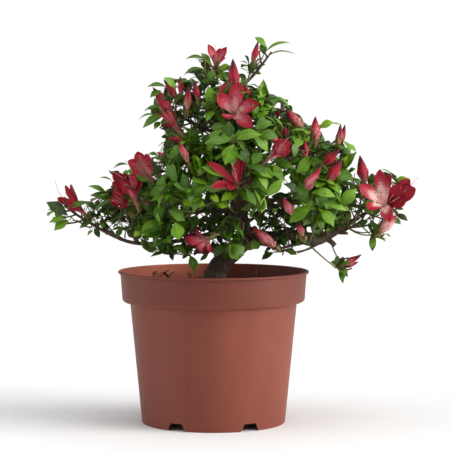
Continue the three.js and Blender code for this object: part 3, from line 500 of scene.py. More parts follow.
# Windows of sky that show through the crown: the middle of each across and up, and its half sizes
SKY = [
    ((-30, 373), (5, 7)), ((-17, 364), (4, 4)), ((-17, 388), (3, 4)), ((-42, 398), (3, 3)),
    ((-61, 316), (5, 5)), ((-80, 268), (5, 7)), ((-113, 248), (6, 4)), ((-146, 262), (3, 3)),
    ((144, 364), (12, 13)), ((81, 397), (5, 5)), ((84, 294), (5, 8)), ((-171, 259), (6, 4)),
    ((160, 290), (6, 4)), ((179, 288), (4, 3)), ((37, 242), (3, 4)), ((53, 252), (3, 4)),
    ((70, 241), (4, 3)), ((90, 247), (4, 3)), ((114, 252), (2, 2)), ((120, 247), (3, 4)),
    ((134, 238), (2, 4)),
]
# The edge of the crown as the camera sees it, from the tip at the left over the top and back under it
CROWN_EDGE = [
    (46, 201), (60, 200), (70, 193), (84, 198), (96, 198), (106, 192), (108, 187), (114, 184), (112, 171),
    (124, 176), (127, 165), (132, 160), (148, 160), (152, 156), (162, 153), (166, 144), (166, 134),
    (158, 129), (145, 128), (153, 122), (140, 120), (154, 113), (146, 112), (156, 104), (150, 99),
    (160, 93), (147, 87), (163, 77), (176, 75), (183, 79), (184, 62), (193, 55), (203, 54), (208, 46),
    (216, 52), (223, 48), (229, 53), (234, 62), (240, 66), (246, 61), (252, 58), (255, 37), (262, 37),
    (267, 44), (265, 52), (261, 60), (261, 66), (256, 72), (250, 78), (249, 86), (259, 91), (260, 80),
    (266, 80), (268, 96), (277, 96), (286, 102), (288, 108), (296, 113), (304, 120), (309, 127), (313, 117),
    (318, 122), (321, 142), (334, 142), (338, 126), (346, 126), (344, 142), (347, 151), (352, 153),
    (349, 166), (345, 172), (353, 172), (356, 184), (367, 174), (380, 169), (393, 172), (402, 180),
    (413, 178), (416, 188), (403, 200), (404, 206), (398, 212), (409, 219), (404, 223), (393, 228),
    (392, 238), (384, 243), (376, 238), (371, 253), (366, 238), (345, 236), (330, 240), (344, 255),
    (350, 258), (361, 253), (359, 263), (350, 270), (344, 285), (337, 280), (339, 272), (329, 264),
    (322, 256), (312, 249), (298, 256), (282, 256), (274, 250), (262, 261), (262, 251), (268, 247),
    (256, 246), (246, 256), (238, 264), (206, 264), (196, 271), (189, 264), (184, 252), (176, 250),
    (173, 260), (168, 252), (158, 250), (150, 257), (147, 250), (140, 246), (128, 243), (108, 237),
    (99, 239), (80, 230), (60, 229), (51, 232), (48, 224),
]
CAMERA = Vector((15.7, -2270, 374))
CAMERA_PITCH = 3.2
PICTURE = 452
FOCUS = 1807  # how far the picture lies from the lens, in its own dots
SENSOR = 36

# Which masses count as the back, and where left and right part
BACK_DEPTH = 40
MIDDLE_ACROSS = 20

# Thin leafy shoots within the crown as the camera sees them: mass, depth, path and tint
# A thicket's tint is partly the leaves' own green and partly painted shade.
THICKETS = [
    ("under_right", 10, [(262, 232), (266, 222), (272, 212), (281, 204)], "deep"),
    ("under_right", -22, [(288, 231), (281, 222), (274, 216), (262, 210)], "dark"),
    ("under_right", 26, [(270, 230), (262, 218), (257, 208), (262, 200)], "deep"),
    ("under_right", -6, [(278, 232), (276, 224), (284, 214), (287, 206)], "dark"),
    ("low_left", -20, [(216, 236), (210, 226), (204, 217), (199, 211)], "deep"),
    ("low_left", 8, [(200, 233), (206, 224), (212, 214)], "dark"),
    ("low_left", -30, [(224, 248), (216, 241), (209, 236)], "deep"),
    ("upper_left", -12, [(202, 136), (197, 124), (193, 113), (197, 104)], "dark"),
    ("upper_left", 6, [(214, 130), (206, 121), (201, 110), (204, 100)], "deep"),
    ("upper_left", -22, [(198, 134), (188, 130), (179, 126)], "deep"),
    ("upper_left", 24, [(206, 132), (196, 124), (186, 116), (180, 108)], "deep"),
    ("upper_left", 32, [(204, 126), (194, 131), (184, 130), (176, 124)], "dark"),
    ("upper_left", 28, [(202, 116), (193, 108), (186, 100)], "dark"),
    ("apex_left", 26, [(212, 110), (206, 98), (198, 90)], "deep"),
    ("apex_left", -8, [(207, 102), (204, 92), (201, 80)], "dark"),
    ("left_mid", -14, [(137, 236), (126, 231), (117, 226), (108, 219)], "dark"),
    ("left_mid", -4, [(128, 222), (115, 218), (100, 216)], "dark"),
    ("far_left", -8, [(99, 231), (96, 223), (91, 213), (86, 204)], "dark"),
    ("far_right", -2, [(350, 216), (352, 200), (352, 186), (355, 173)], "mid"),
    ("far_right", 6, [(356, 220), (359, 208), (361, 196)], "dark"),
    ("right_mid", -24, [(300, 238), (297, 226), (292, 214)], "deep"),
    ("right_mid", -30, [(314, 240), (313, 228), (318, 216), (326, 208)], "dark"),
    ("right_mid", -24, [(328, 236), (330, 224), (327, 214), (336, 206)], "dark"),
    ("right_mid", -18, [(339, 230), (338, 220), (342, 210)], "deep"),
    ("under_right", -24, [(268, 246), (274, 238), (284, 232)], "deep"),
    ("under_right", -20, [(286, 244), (292, 236), (300, 230)], "dark"),
    ("back_low_left", 34, [(190, 240), (197, 229), (204, 219)], "deep"),
    ("back_low_left", 44, [(182, 240), (187, 229), (195, 220)], "dark"),
    ("back_low_left", 30, [(216, 236), (224, 226), (229, 215)], "deep"),
    ("back_centre", 60, [(228, 236), (222, 224), (216, 214)], "dark"),
    ("back_low_left", 36, [(176, 222), (172, 210), (168, 198)], "deep"),
    ("left_shoulder", -8, [(180, 212), (174, 203), (168, 194)], "dark"),
    ("back_low_right", 30, [(262, 232), (258, 222), (262, 212)], "dark"),
    ("back_low_right", 42, [(276, 234), (283, 226), (288, 218)], "deep"),
    ("back_low_right", 36, [(296, 232), (304, 222), (310, 214)], "deep"),
    ("back_centre", 50, [(240, 206), (247, 192), (252, 178)], "bright"),
    ("right_mid", -20, [(341, 214), (337, 204), (343, 196)], "dark"),
    ("centre_right", -30, [(289, 168), (294, 160), (298, 153)], "dark"),
]
THICKET_WANDER = (-5, 5)
THICKET_STEP = 7
THICKET_SHOOT = (3, 12)
THICKET_TILT = (45, 80)
THICKET_LIFT = 0.2
THICKET_LEAVES = 3
THICKET_LEAF = (11, 20)
THICKET_SPREAD = (0.7, 1.4)
THICKET_FACING = 0.3
THICKET_BACK = 20  # the depth past which a thicket's leaves count as the back's

# Young sprays of a yellow green: the middle of each, and how far it reaches
FRESH_SPRAYS = [((-12, -100, 270), 14), ((60, 8, 470), 18), ((150, -20, 325), 20), ((205, -20, 235), 24)]
FRESH_CHANCE = 0.75


def tint(red, green, blue):
    """A colour as it is seen, 0 to 255, made linear."""
    def linear(value):
        share = value / 255
        return share / 12.92 if share <= 0.04045 else ((share + 0.055) / 1.055) ** 2.4
    return (linear(red), linear(green), linear(blue), 1)


def mix(low, high, share):
    return low + (high - low) * share


def smooth(low, high, value):
    share = min(1, max(0, (value - low) / (high - low)))
    return share * share * (3 - 2 * share)


def stream(seed):
    """Seeded draws between 0 and 1, the same ones as the solids'."""
    full = 0xFFFFFFFF
    state = seed & full

    def draw():
        nonlocal state
        state = (state + 0x6D2B79F5) & full
        t = state
        t = ((t ^ (t >> 15)) * (t | 1)) & full
        t ^= (t + ((t ^ (t >> 7)) * (t | 61) & full)) & full
        return ((t ^ (t >> 14)) & full) / 4294967296

    return draw


# Curves

class Curve:
    """The path that a point takes, read by the share of its length."""

    DIVISIONS = 200

    def __init__(self, point):
        self.point = point
        places = [point(i / self.DIVISIONS) for i in range(self.DIVISIONS + 1)]
        steps = [(b - a).length for a, b in zip(places, places[1:])]
        self.lengths = np.concatenate([[0], np.cumsum(steps)])
        self.length = self.lengths[-1]

    def part(self, share):
        return float(np.interp(share * self.length, self.lengths, np.linspace(0, 1, self.DIVISIONS + 1)))

    def at(self, share):
        return self.point(self.part(share))

    def heading(self, share):
        part = self.part(share)
        return (self.point(min(1, part + 1e-4)) - self.point(max(0, part - 1e-4))).normalized()


def through(places):
    """The centripetal curve through some places."""
    places = [Vector(place) for place in places]
    last = len(places) - 1
    padded = [2 * places[0] - places[1], *places, 2 * places[-1] - places[-2]]

    def point(part):
        index = min(last - 1, int(part * last))
        t = part * last - index
        p0, p1, p2, p3 = padded[index:index + 4]
        d0, d1, d2 = ((b - a).length ** 0.5 for a, b in ((p0, p1), (p1, p2), (p2, p3)))
        t1 = ((p1 - p0) / d0 - (p2 - p0) / (d0 + d1) + (p2 - p1) / d1) * d1
        t2 = ((p2 - p1) / d1 - (p3 - p1) / (d1 + d2) + (p3 - p2) / d2) * d1
        return p1 + t1 * t + (-3 * p1 + 3 * p2 - 2 * t1 - t2) * t**2 + (2 * p1 - 2 * p2 + t1 + t2) * t**3

    return Curve(point)


def bezier_place(corners, part):
    """The place at a part of the curve that four corners shape, or three."""
    degree = len(corners) - 1
    shares = (math.comb(degree, i) * (1 - part) ** (degree - i) * part**i for i in range(degree + 1))
    return sum((share * corner for share, corner in zip(shares, corners)), 0 * corners[0])


def bezier(*corners):
    return Curve(lambda part: bezier_place(corners, part))


def square(axis):
    """Two directions square to an axis, the first as level as it can be."""
    side = Vector((1, 0, 0)) if abs(axis.z) > 0.98 else UP.cross(axis).normalized()
    return side, axis.cross(side).normalized()


def spoke(side, face, turn):
    """The direction at a turn round an axis, from the first of its square directions to the second."""
    return side * math.cos(turn) + face * math.sin(turn)


# The plan of the shrub: masses, limbs and the stem in each mass

class Mass:
    """A mass of foliage, which fills a ball that is stretched along each axis."""

    def __init__(self, name, seed, middle, reach):
        self.name = name
        self.seed = seed
        self.middle = Vector(middle)
        self.reach = Vector(reach)
        self.size = (reach[0] * reach[1] * reach[2]) ** (1 / 3)
        self.wood = []  # the places where a flower's stalk may leave

    def scaled(self, vector):
        return Vector(a / b for a, b in zip(vector, self.reach))

    def edge_distance(self, direction):
        return 1 / self.scaled(direction).length

    def room_to_edge(self, point, direction):
        start = self.scaled(point - self.middle)
        step = self.scaled(direction)
        a, b, c = step.length_squared, start.dot(step), start.length_squared - 1
        return (math.sqrt(max(0, b * b - a * c)) - b) / a


class Limb:
    """The trunk or a bough. Its radius goes by how far along it, the centre there and the way out."""

    def __init__(self, name, curve, radius_at):
        self.name = name
        self.curve = curve
        self.radius_at = radius_at


def trunk_radius(along, centre, out):
    heights = [place[2] for place, _ in TRUNK_RISE]
    plain = float(np.interp(centre.z, heights, [radius for _, radius in TRUNK_RISE]))
    flare = max(0, (FLARE_TOP - centre.z) / (FLARE_TOP - SOIL_LEVEL))
    ribs = math.cos(FLARE_RIBS * math.atan2(out.y, out.x) - FLARE_TURN)
    return plain * (1 + FLARE_DEPTH * flare * ribs)


def bough_radius(name, radii):
    def radius_at(along, centre, out):
        plain = mix(*radii, along)
        if name not in KNOTS:
            return plain
        place, radius, length = KNOTS[name]
        return plain + (radius - plain) * math.exp(-(((along - place) / length) ** 2))
    return radius_at


def bough_curve(name, parent, along, mass):
    foot = parent.curve.at(along)
    past = [Vector(place) for place in PAST.get(name, [])]
    inward = (mass.middle - (past[-1] if past else foot)).normalized()
    tip = mass.middle - inward * BOUGH_ENTRY * mass.edge_distance(inward)
    if past:
        return through([foot, *past, tip])
    sweep = (tip - foot).length * BOUGH_SWEEP
    leaving = inward.lerp(parent.curve.heading(along), BOUGH_LEAN).normalized()
    return bezier(foot, foot + leaving * sweep, tip - inward * sweep, tip)


def stem_into(mass, limb):
    tip = limb.curve.at(1)
    ahead = limb.curve.heading(1)
    foot = tip + ahead * STEM_GAP
    inward = (mass.middle - foot).normalized().lerp(UP, STEM_LIFT).normalized()
    end = mass.middle + inward * STEM_REACH * mass.edge_distance(inward)
    mass.stem = bezier(foot, foot + ahead * (foot - end).length / 2, end)
    mass.stem_radius = limb.radius_at(1, tip, UP)


masses = {
    name: Mass(name, seed + 1, middle, reach) for seed, (name, (middle, reach)) in enumerate(MASSES.items())
}
limbs = {"trunk": Limb("trunk", through([place for place, _ in TRUNK_RISE]), trunk_radius)}
for name, parent, along, end, radii in BOUGHS:
    curve = bough_curve(name, limbs[parent], along, masses[end])
    limbs[name] = Limb(name, curve, bough_radius(name, radii))
    stem_into(masses[end], limbs[name])
stem_into(masses["apex_left"], limbs["trunk"])


# Where things may grow. Each test takes some points as rows.

MIDDLES = np.array([mass.middle[:] for mass in masses.values()])
SIZES = np.array([mass.size for mass in masses.values()])


def limb_lines():
    """Every stretch of every limb: where it starts, the way to its end, and its radius."""
    starts, ways, radii = [], [], []
    for limb in limbs.values():
        shares = [i / LINE_SAMPLES for i in range(LINE_SAMPLES + 1)]
        line = [(limb.curve.at(share), share) for share in shares]
        wide = [limb.radius_at(share, centre, UP) for centre, share in line]
        for i in range(1, len(line)):
            starts.append(line[i - 1][0][:])
            ways.append((line[i][0] - line[i - 1][0])[:])
            radii.append(max(wide[i - 1], wide[i]))
    return np.array(starts), np.array(ways), np.array(radii)


LINE_STARTS, LINE_WAYS, LINE_RADII = limb_lines()


def room_to_limbs(points):
    """How far each point is from the surface of the nearest limb."""
    off = points[:, None, :] - LINE_STARTS
    share = np.clip((off * LINE_WAYS).sum(axis=2) / (LINE_WAYS**2).sum(axis=1), 0, 1)
    return (np.linalg.norm(off - share[:, :, None] * LINE_WAYS, axis=2) - LINE_RADII).min(axis=1)


def room_in_cell(mass, points):
    """How far each point is inside the mass's own space, which ends at its neighbours'."""
    power = ((points[:, None, :] - MIDDLES) ** 2).sum(axis=2) - SIZES**2
    own = mass.seed - 1
    apart = np.linalg.norm(MIDDLES - MIDDLES[own], axis=1)
    apart[own] = 1
    room = (power - power[:, own:own + 1]) / (2 * apart)
    room[:, own] = np.inf
    return room.min(axis=1)


def reach_of(mass, points):
    """How far out each point is in a mass, where 1 is its edge."""
    return np.linalg.norm((points - mass.middle[:]) / mass.reach[:], axis=1)


def outside_pot(points):
    level = np.hypot(points[:, 0], points[:, 1])
    return (points[:, 2] > POT_HEIGHT + POT_CLEARANCE) | (level > LIP_RADIUS + POT_CLEARANCE)


def on_the_picture(points):
    """Where points are seen against the upright plane through the pot's middle."""
    away = points[:, 1] - CAMERA.y
    nearer = -CAMERA.y / away
    across = CAMERA.x + (points[:, 0] - CAMERA.x) * nearer
    up = CAMERA.z + (points[:, 2] - CAMERA.z) * nearer
    return across, up


def in_the_sky(points):
    across, up = on_the_picture(points)
    hit = np.zeros(len(points), bool)
    for (x, z), (wide, tall) in SKY:
        hit |= ((across - x) / wide) ** 2 + ((up - z) / tall) ** 2 < 1
    return hit


def seen(across, down, depth):
    """The place at a depth that the camera shows at a point of its picture."""
    right, rise = (across - PICTURE / 2) / FOCUS, (PICTURE / 2 - down) / FOCUS
    pitch = math.radians(CAMERA_PITCH)
    far = (depth - CAMERA.y) / (math.cos(pitch) + rise * math.sin(pitch))
    up = CAMERA.z + (rise * math.cos(pitch) - math.sin(pitch)) * far
    return Vector((CAMERA.x + right * far, depth, up))


EDGE_STARTS = np.array([(place.x, place.z) for place in (seen(*edge, 0) for edge in CROWN_EDGE)])
EDGE_ENDS = np.roll(EDGE_STARTS, -1, axis=0)


def past_the_crown(points):
    """True for a point that the camera would see outside the crown's edge."""
    across, up = (row[:, None] for row in on_the_picture(points))
    (x0, z0), (x1, z1) = EDGE_STARTS.T, EDGE_ENDS.T
    crosses = (z0 > up) != (z1 > up)
    level = np.where(z1 == z0, 1, z1 - z0)
    to_the_right = across < x0 + (up - z0) * (x1 - x0) / level
    return (crosses & to_the_right).sum(axis=1) % 2 == 0


def probes(start, end):
    return np.array([start.lerp(end, (i + 1) / PROBES)[:] for i in range(PROBES)])


def twig_fits(mass, line):
    inside = (room_in_cell(mass, line) > GAP).all() and (reach_of(mass, line) < EDGE).all()
    return inside and outside_pot(line).all() and (room_to_limbs(line) > TWIG_RADIUS + GAP).all()


# Small shapes that are repeated, each made once as a bmesh and joined into pieces as arrays

class Form:
    """A small shape as arrays, with the finish and the flat map of its faces."""

    def __init__(self, bm, slots=None, maps=None):
        bm.verts.index_update()
        self.points = np.array([vert.co[:] for vert in bm.verts])
        self.corners = np.array([vert.index for face in bm.faces for vert in face.verts])
        self.sizes = np.array([len(face.verts) for face in bm.faces])
        self.slots = np.array([slots(face) if slots else 0 for face in bm.faces])
        self.centres = np.array([face.calc_center_median()[:] for face in bm.faces])
        flat = maps or (lambda co: (0.5, 0.5))
        self.map = np.array([flat(vert.co) for face in bm.faces for vert in face.verts])
        bm.free()


def new_object(name, data):
    made = bpy.data.objects.new(name, data)
    bpy.context.collection.objects.link(made)
    return made


class Heap:
    """Many small shapes of one kind that are joined into one piece."""

    def __init__(self, name, finishes):
        self.name = name
        self.finishes = finishes
        self.parts = []
        self.count = 0

    def add(self, form, points, slots):
        """Adds a shape at its bent points, with one finish or the finish of each face."""
        slots = np.full(len(form.sizes), slots)
        self.parts.append((points, form.corners + self.count, form.sizes, slots, form.map))
        self.count += len(points)

    def piece(self, sharp=None):
        points, corners, sizes, slots, maps = (np.concatenate(column) for column in zip(*self.parts))
        mesh = bpy.data.meshes.new(self.name)
        mesh.vertices.add(len(points))
        mesh.vertices.foreach_set("co", (points * MM).astype(np.float32).ravel())
        mesh.loops.add(len(corners))
        mesh.loops.foreach_set("vertex_index", corners.astype(np.int32))
        mesh.polygons.add(len(sizes))
        starts = np.concatenate([[0], np.cumsum(sizes)[:-1]])
        mesh.polygons.foreach_set("loop_start", starts.astype(np.int32))
        mesh.polygons.foreach_set("material_index", slots.astype(np.int32))
        mesh.uv_layers.new(name="surface")
        mesh.uv_layers[0].data.foreach_set("uv", maps.astype(np.float32).ravel())
        mesh.update(calc_edges=True)
        mesh.shade_smooth()
        if sharp:
            mesh.set_sharp_from_angle(angle=math.radians(sharp))
        for material in self.finishes:
            mesh.materials.append(material)
        return new_object(self.name, mesh)


LEAF_POLES = 8
LEAF_STATIONS = 7
LEAF_THICKNESS = 0.012
LEAF_FOLD = 0.1
LEAF_ARCHES = (0.05, 0.1, 0.17)
TINY = 1e-3


def leaf_outline(share):
    return math.sin(math.pi * share**1.1) ** (0.85 + 0.45 * share)


def leaf_form(arch):
    """A leaf 1 long along y and 1 to each side: folded at its midrib, and arched."""
    bm = bmesh.new()
    bmesh.ops.create_uvsphere(bm, u_segments=LEAF_POLES, v_segments=LEAF_STATIONS, radius=1)
    lower = {face.index: face.calc_center_median().y < 0 for face in bm.faces}
    for vert in bm.verts:
        x, y, z = vert.co
        share = math.acos(max(-1, min(1, -z))) / math.pi
        ring = math.hypot(x, y)
        across = x / ring if ring > TINY else 0
        above = y / ring if ring > TINY else 0
        wide = leaf_outline(share) if 0 < share < 1 and ring > TINY else 0
        fold = LEAF_FOLD * wide * (abs(across) - 0.6 * across * across) * LEAF_SHAPE
        bow = arch * 4 * share * (1 - share)
        vert.co = (across * wide, share, fold + bow + above * LEAF_THICKNESS * (1 - 0.6 * abs(across)))
    bmesh.ops.recalc_face_normals(bm, faces=bm.faces[:])
    return Form(bm, lambda face: int(lower[face.index]), lambda co: (0.5 + co.x / 2, co.y))


PETALS = 5
PETAL_COLUMNS = 6
PETAL_ROWS = 14
PETAL_THICKNESS = 0.4
TUBE_FOOT = 1.7


def petal_form():
    """The flat grid that a petal is bent from: x across, y along from 0 to 1, z through."""
    bm = bmesh.new()
    bmesh.ops.create_grid(bm, x_segments=PETAL_COLUMNS, y_segments=PETAL_ROWS, size=1)
    bmesh.ops.solidify(bm, geom=bm.faces[:], thickness=PETAL_THICKNESS)
    bmesh.ops.recalc_face_normals(bm, faces=bm.faces[:])
    for vert in bm.verts:
        vert.co = (max(-1, min(1, vert.co.x)), (max(-1, min(1, vert.co.y)) + 1) / 2, vert.co.z)
    return Form(bm)


BUD_SIDES = 15
BUD_RINGS = 12
BUD_FURL = 0.12
BUD_TWIST = 1.3


def bud_outline(share):
    """Half the width of a bud along it: a narrow foot, a long body, and a drawn-out tip."""
    return mix(0.5, 1, smooth(0, 0.45, share)) * min(1, 1.5 * (1 - share) ** 0.8) * min(1, share / 0.08)


def bud_form():
    """A bud 1 long along z and 1 to each side: five furled petals, drawn to a point."""
    bm = bmesh.new()
    bmesh.ops.create_uvsphere(bm, u_segments=BUD_SIDES, v_segments=BUD_RINGS, radius=1)
    for vert in bm.verts:
        x, y, z = vert.co
        share = math.acos(max(-1, min(1, -z))) / math.pi
        turn = math.atan2(y, x)
        wide = bud_outline(share) if math.hypot(x, y) > TINY else 0
        wide *= 1 + BUD_FURL * math.cos(PETALS * (turn + BUD_TWIST * share))
        vert.co = (wide * math.cos(turn), wide * math.sin(turn), share)
    return Form(bm)


def ball_form(sides, rings):
    """A ball of radius 1."""
    bm = bmesh.new()
    bmesh.ops.create_uvsphere(bm, u_segments=sides, v_segments=rings, radius=1)
    return Form(bm)


def tube_mesh(sides, rings):
    """A closed tube 1 long along z, to be bent along a path."""
    bm = bmesh.new()
    bmesh.ops.create_cone(bm, cap_ends=True, segments=sides, radius1=1, radius2=1, depth=1)
    bmesh.ops.translate(bm, verts=bm.verts[:], vec=(0, 0, 0.5))
    rising = [edge for edge in bm.edges if abs(edge.verts[0].co.z - edge.verts[1].co.z) > 0.5]
    bmesh.ops.subdivide_edges(bm, edges=rising, cuts=rings - 1)
    return bm


TWIG_TUBE = Form(tube_mesh(6, 5))
SHOOT_TUBE = Form(tube_mesh(5, 3))
THREAD_TUBE = Form(tube_mesh(4, 6))
LEAVES = [leaf_form(arch) for arch in LEAF_ARCHES]


def frames_along(curve, count):
    """Places along a curve, each with two directions square to it that don't twist."""
    side = square(curve.heading(0))[0]
    rings = []
    for i in range(count + 1):
        ahead = curve.heading(i / count)
        side = (side - ahead * side.dot(ahead)).normalized()
        rings.append((curve.at(i / count), side, ahead.cross(side)))
    return rings


def tube_points(form, curve, radii):
    """The points of a tube bent along a curve, from the first radius to the second."""
    steps = round(1 / np.diff(np.unique(np.round(form.points[:, 2], 4))).min())
    rings = frames_along(curve, steps)
    ring = np.round(form.points[:, 2] * steps).astype(int)
    centre, side, face = (np.array([row[i][:] for row in rings])[ring] for i in range(3))
    wide = mix(radii[0], radii[1], form.points[:, 2])[:, None]
    return centre + wide * (form.points[:, :1] * side + form.points[:, 1:2] * face)


def placed(form, origin, x_axis, y_axis, z_axis):
    """The points of a shape set at a place along three axes."""
    points = form.points
    return np.array(origin[:]) + points[:, :1] * x_axis + points[:, 1:2] * y_axis + points[:, 2:3] * z_axis


# Finishes

RELIEF_DEPTH = 0.0006  # in metres, as everything in a material
RIB_WIDTH = 0.05


def feed(material, socket, value):
    """Gives a socket its value, or joins it to the output that makes its value."""
    if isinstance(value, bpy.types.NodeSocket):
        material.node_tree.links.new(value, socket)
    else:
        socket.default_value = value


def add_node(material, kind, **values):
    node = material.node_tree.nodes.new("ShaderNode" + kind)
    for name, value in values.items():
        feed(material, node.inputs[name.replace("_", " ")], value)
    return node


def mottled(material, place, scale, detail, roughness=0.5):
    values = {"Vector": place, "Scale": scale, "Detail": detail, "Roughness": roughness}
    return add_node(material, "TexNoise", **values).outputs["Fac"]


def ranged(material, value, low, high, top=1):
    """How far a value has come from the low one to the high one, times the top."""
    node = add_node(material, "MapRange", Value=value, From_Min=low, From_Max=high, To_Max=top)
    return node.outputs["Result"]


def computed(material, operation, *values):
    node = add_node(material, "Math")
    node.operation = operation
    for socket, value in zip(node.inputs, values):
        feed(material, socket, value)
    return node.outputs["Value"]


def coordinate(material, places, axis):
    return add_node(material, "SeparateXYZ", Vector=places).outputs[axis]


def place_in(material):
    return material.node_tree.nodes["Texture Coordinate"].outputs["Object"]


def shader_of(material):
    return material.node_tree.nodes["Principled BSDF"]


def lay_over(material, share, colour):
    """Lays a colour over what a material has, as far as the share says."""
    layer = add_node(material, "Mix")
    layer.data_type = "RGBA"
    base = shader_of(material).inputs["Base Color"]
    feed(material, layer.inputs["Factor"], share)
    feed(material, layer.inputs["A"], base.links[0].from_socket)
    feed(material, layer.inputs["B"], tint(*colour))
    feed(material, base, layer.outputs["Result"])


def plain(name, **values):
    """A material that is the same all over."""
    material = bpy.data.materials.new(name)
    material.use_nodes = True
    for socket, value in values.items():
        feed(material, shader_of(material).inputs[socket.replace("_", " ")], value)
    return material


def finish(name, colours, scale, roughness, bump=0, bump_scale=400, detail=4, stretch=(1, 1, 1), shine=0.5):
    """A material whose colour wanders between some colours, with a fine relief."""
    material = plain(name, Roughness=roughness, Specular_IOR_Level=shine)
    place = add_node(material, "TexCoord").outputs["Object"]
    place = add_node(material, "Mapping", Vector=place, Scale=stretch).outputs["Vector"]
    ramp = add_node(material, "ValToRGB", Fac=mottled(material, place, scale, detail, 0.6))
    elements = ramp.color_ramp.elements
    while len(elements) < len(colours):
        elements.new(0.5)
    for i, (element, colour) in enumerate(zip(elements, colours)):
        element.position = 0.3 + 0.4 * i / max(1, len(colours) - 1)
        element.color = tint(*colour)
    feed(material, shader_of(material).inputs["Base Color"], ramp.outputs["Color"])
    if bump:
        grain = mottled(material, place, bump_scale, 3)
        relief = add_node(material, "Bump", Height=grain, Strength=bump, Distance=RELIEF_DEPTH)
        feed(material, shader_of(material).inputs["Normal"], relief.outputs["Normal"])
    return material


def leaf_finish(name, dark, light, rib):
    """A leaf's green, with a pale midrib drawn along the leaf's own map."""
    material = finish("leaf_" + name, [dark, light], 90, 0.44, 0.25, 700, shine=0.32)
    surface = add_node(material, "UVMap")
    surface.uv_map = "surface"
    across = coordinate(material, surface.outputs["UV"], "X")
    off_rib = computed(material, "ABSOLUTE", computed(material, "SUBTRACT", across, 0.5))
    lay_over(material, ranged(material, off_rib, RIB_WIDTH, 0), rib)
    return material


# The dark and the light green of each tint, and its midrib's
# The tints from deep to bright are partly the leaves' own greens and partly painted shade and painted light:
# deep for shaded leaves, bright for lit ones.
LEAF_GREENS_WITH_PAINTED_LIGHT = {
    "deep": ((30, 50, 6), (43, 67, 10), (58, 84, 20)),
    "dark": ((40, 68, 8), (55, 87, 13), (74, 106, 26)),
    "mid": ((56, 92, 10), (72, 112, 18), (92, 130, 36)),
    "bright": ((80, 120, 14), (100, 142, 25), (120, 158, 46)),
    "fresh": ((116, 157, 20), (142, 181, 34), (160, 192, 62)),
    "underside": ((84, 112, 36), (104, 130, 50), (132, 150, 70)),
}
LEAF_TINTS = list(LEAF_GREENS_WITH_PAINTED_LIGHT)
BRIGHT, FRESH, UNDERSIDE = (LEAF_TINTS.index(name) for name in ("bright", "fresh", "underside"))
leaf_finishes = [leaf_finish(name, *greens) for name, greens in LEAF_GREENS_WITH_PAINTED_LIGHT.items()]


def petal_finish(name, colour):
    shades = [[channel * share for channel in colour] for share in (0.93, 1.07)]
    return finish("petal_" + name, shades, 160, 0.6, 0.25, 900, shine=0.3)


PETAL_TINTS = {
    "0": (222, 182, 172),
    "1": (212, 160, 154),
    "2": (202, 138, 136),
    "3": (190, 108, 112),
    "4": (176, 70, 82),
    "5": (163, 38, 57),
    "6": (155, 18, 41),
    "7": (137, 9, 33),
    "8": (108, 9, 30),
    "9": (80, 9, 27),
    "r": (150, 16, 36),
    "s": (186, 62, 76),
    "b": (176, 124, 96),
    "d": (152, 84, 80),
}
petal_finishes = [petal_finish(name, colour) for name, colour in PETAL_TINTS.items()]
TINT_PLACES = {letter: place for place, letter in enumerate(PETAL_TINTS)}
CALYX = finish("calyx", [(84, 76, 32), (112, 104, 48), (96, 62, 36)], 220, 0.6, 0.3, 800)
STAMEN = finish("stamen", [(196, 110, 112), (220, 150, 146)], 200, 0.5)
ANTHER = finish("anther", [(120, 84, 60), (160, 120, 84)], 400, 0.7)
TWIG_BARK = finish("twig_bark", [(54, 40, 28), (88, 68, 48)], 260, 0.85, 0.6, 900)
YOUNG_BARK = finish("young_bark", [(78, 76, 34), (106, 88, 46)], 260, 0.7, 0.4, 900)

leaf_heaps = {side: Heap("leaves_" + side, leaf_finishes) for side in ("left", "right", "back")}
twig_heap = Heap("twigs", [TWIG_BARK, YOUNG_BARK])
petal_heap = Heap("petals", petal_finishes)
bud_heap = Heap("buds", petal_finishes)
calyx_heap = Heap("calyxes", [CALYX, YOUNG_BARK])
stamen_heap = Heap("stamens", [STAMEN, ANTHER])


def add_wood(form, curve, radii, young):
    twig_heap.add(form, tube_points(form, curve, radii), int(young))


# Flowers

def dress(form, name, along):
    """The finish of each face of a petal or bud, by how far it lies along it."""
    tints = np.array([TINT_PLACES[letter] for letter in DRESSES[name]])
    x, y = form.centres[:, 0], form.centres[:, 1]
    fringe = 0.9 * np.cos(2.6 * x) if form is PETAL else 1.3 * np.cos(PETALS * np.arctan2(y, x))
    rows = (form.centres[:, along] * len(tints) - fringe).astype(int)
    return tints[np.clip(rows, 0, len(tints) - 1)]


BUD = bud_form()
KNOB = ball_form(6, 5)
PETAL = petal_form()
TUBE_SHARE = 0.34  # how much of a petal is its flower's tube
TUBE_WAIST = 0.62
LOBE_WIDEST = 0.58
LOBE_SHARPNESS = (0.3, 0.95)
ROUND_LOBE = 10  # half the width of a lobe that is quite round, and of one that is quite pointed
POINTED_LOBE = 5.5
LOBE_BOWL = 0.16
LEAST_LOBE = 0.62  # half the width at a lobe's foot, as a share of the tube's radius or the lobe's width
RUFFLE = 0.7
RUFFLES = 5
MIDDLE_GROOVE = 0.5
GROOVE_WIDTH = 0.25


def rows_of(vector):
    return np.array(vector[:])


def lobe_widths(part, width):
    """Half a lobe's width along it. A narrow lobe ends in a point and a broad one is round."""
    rounded = np.sqrt(np.clip(1 - ((part - LOBE_WIDEST) / 0.425) ** 2, 0.01, 1))
    past = np.maximum(part - LOBE_WIDEST, 0) / (1 - LOBE_WIDEST)
    pointed = np.where(part < LOBE_WIDEST, rounded, 1.03 - past**1.6)
    sharpness = (ROUND_LOBE - width) / (ROUND_LOBE - POINTED_LOBE)
    sharpness = min(LOBE_SHARPNESS[1], max(LOBE_SHARPNESS[0], sharpness))
    return width * (rounded * (1 - sharpness) + pointed * sharpness)


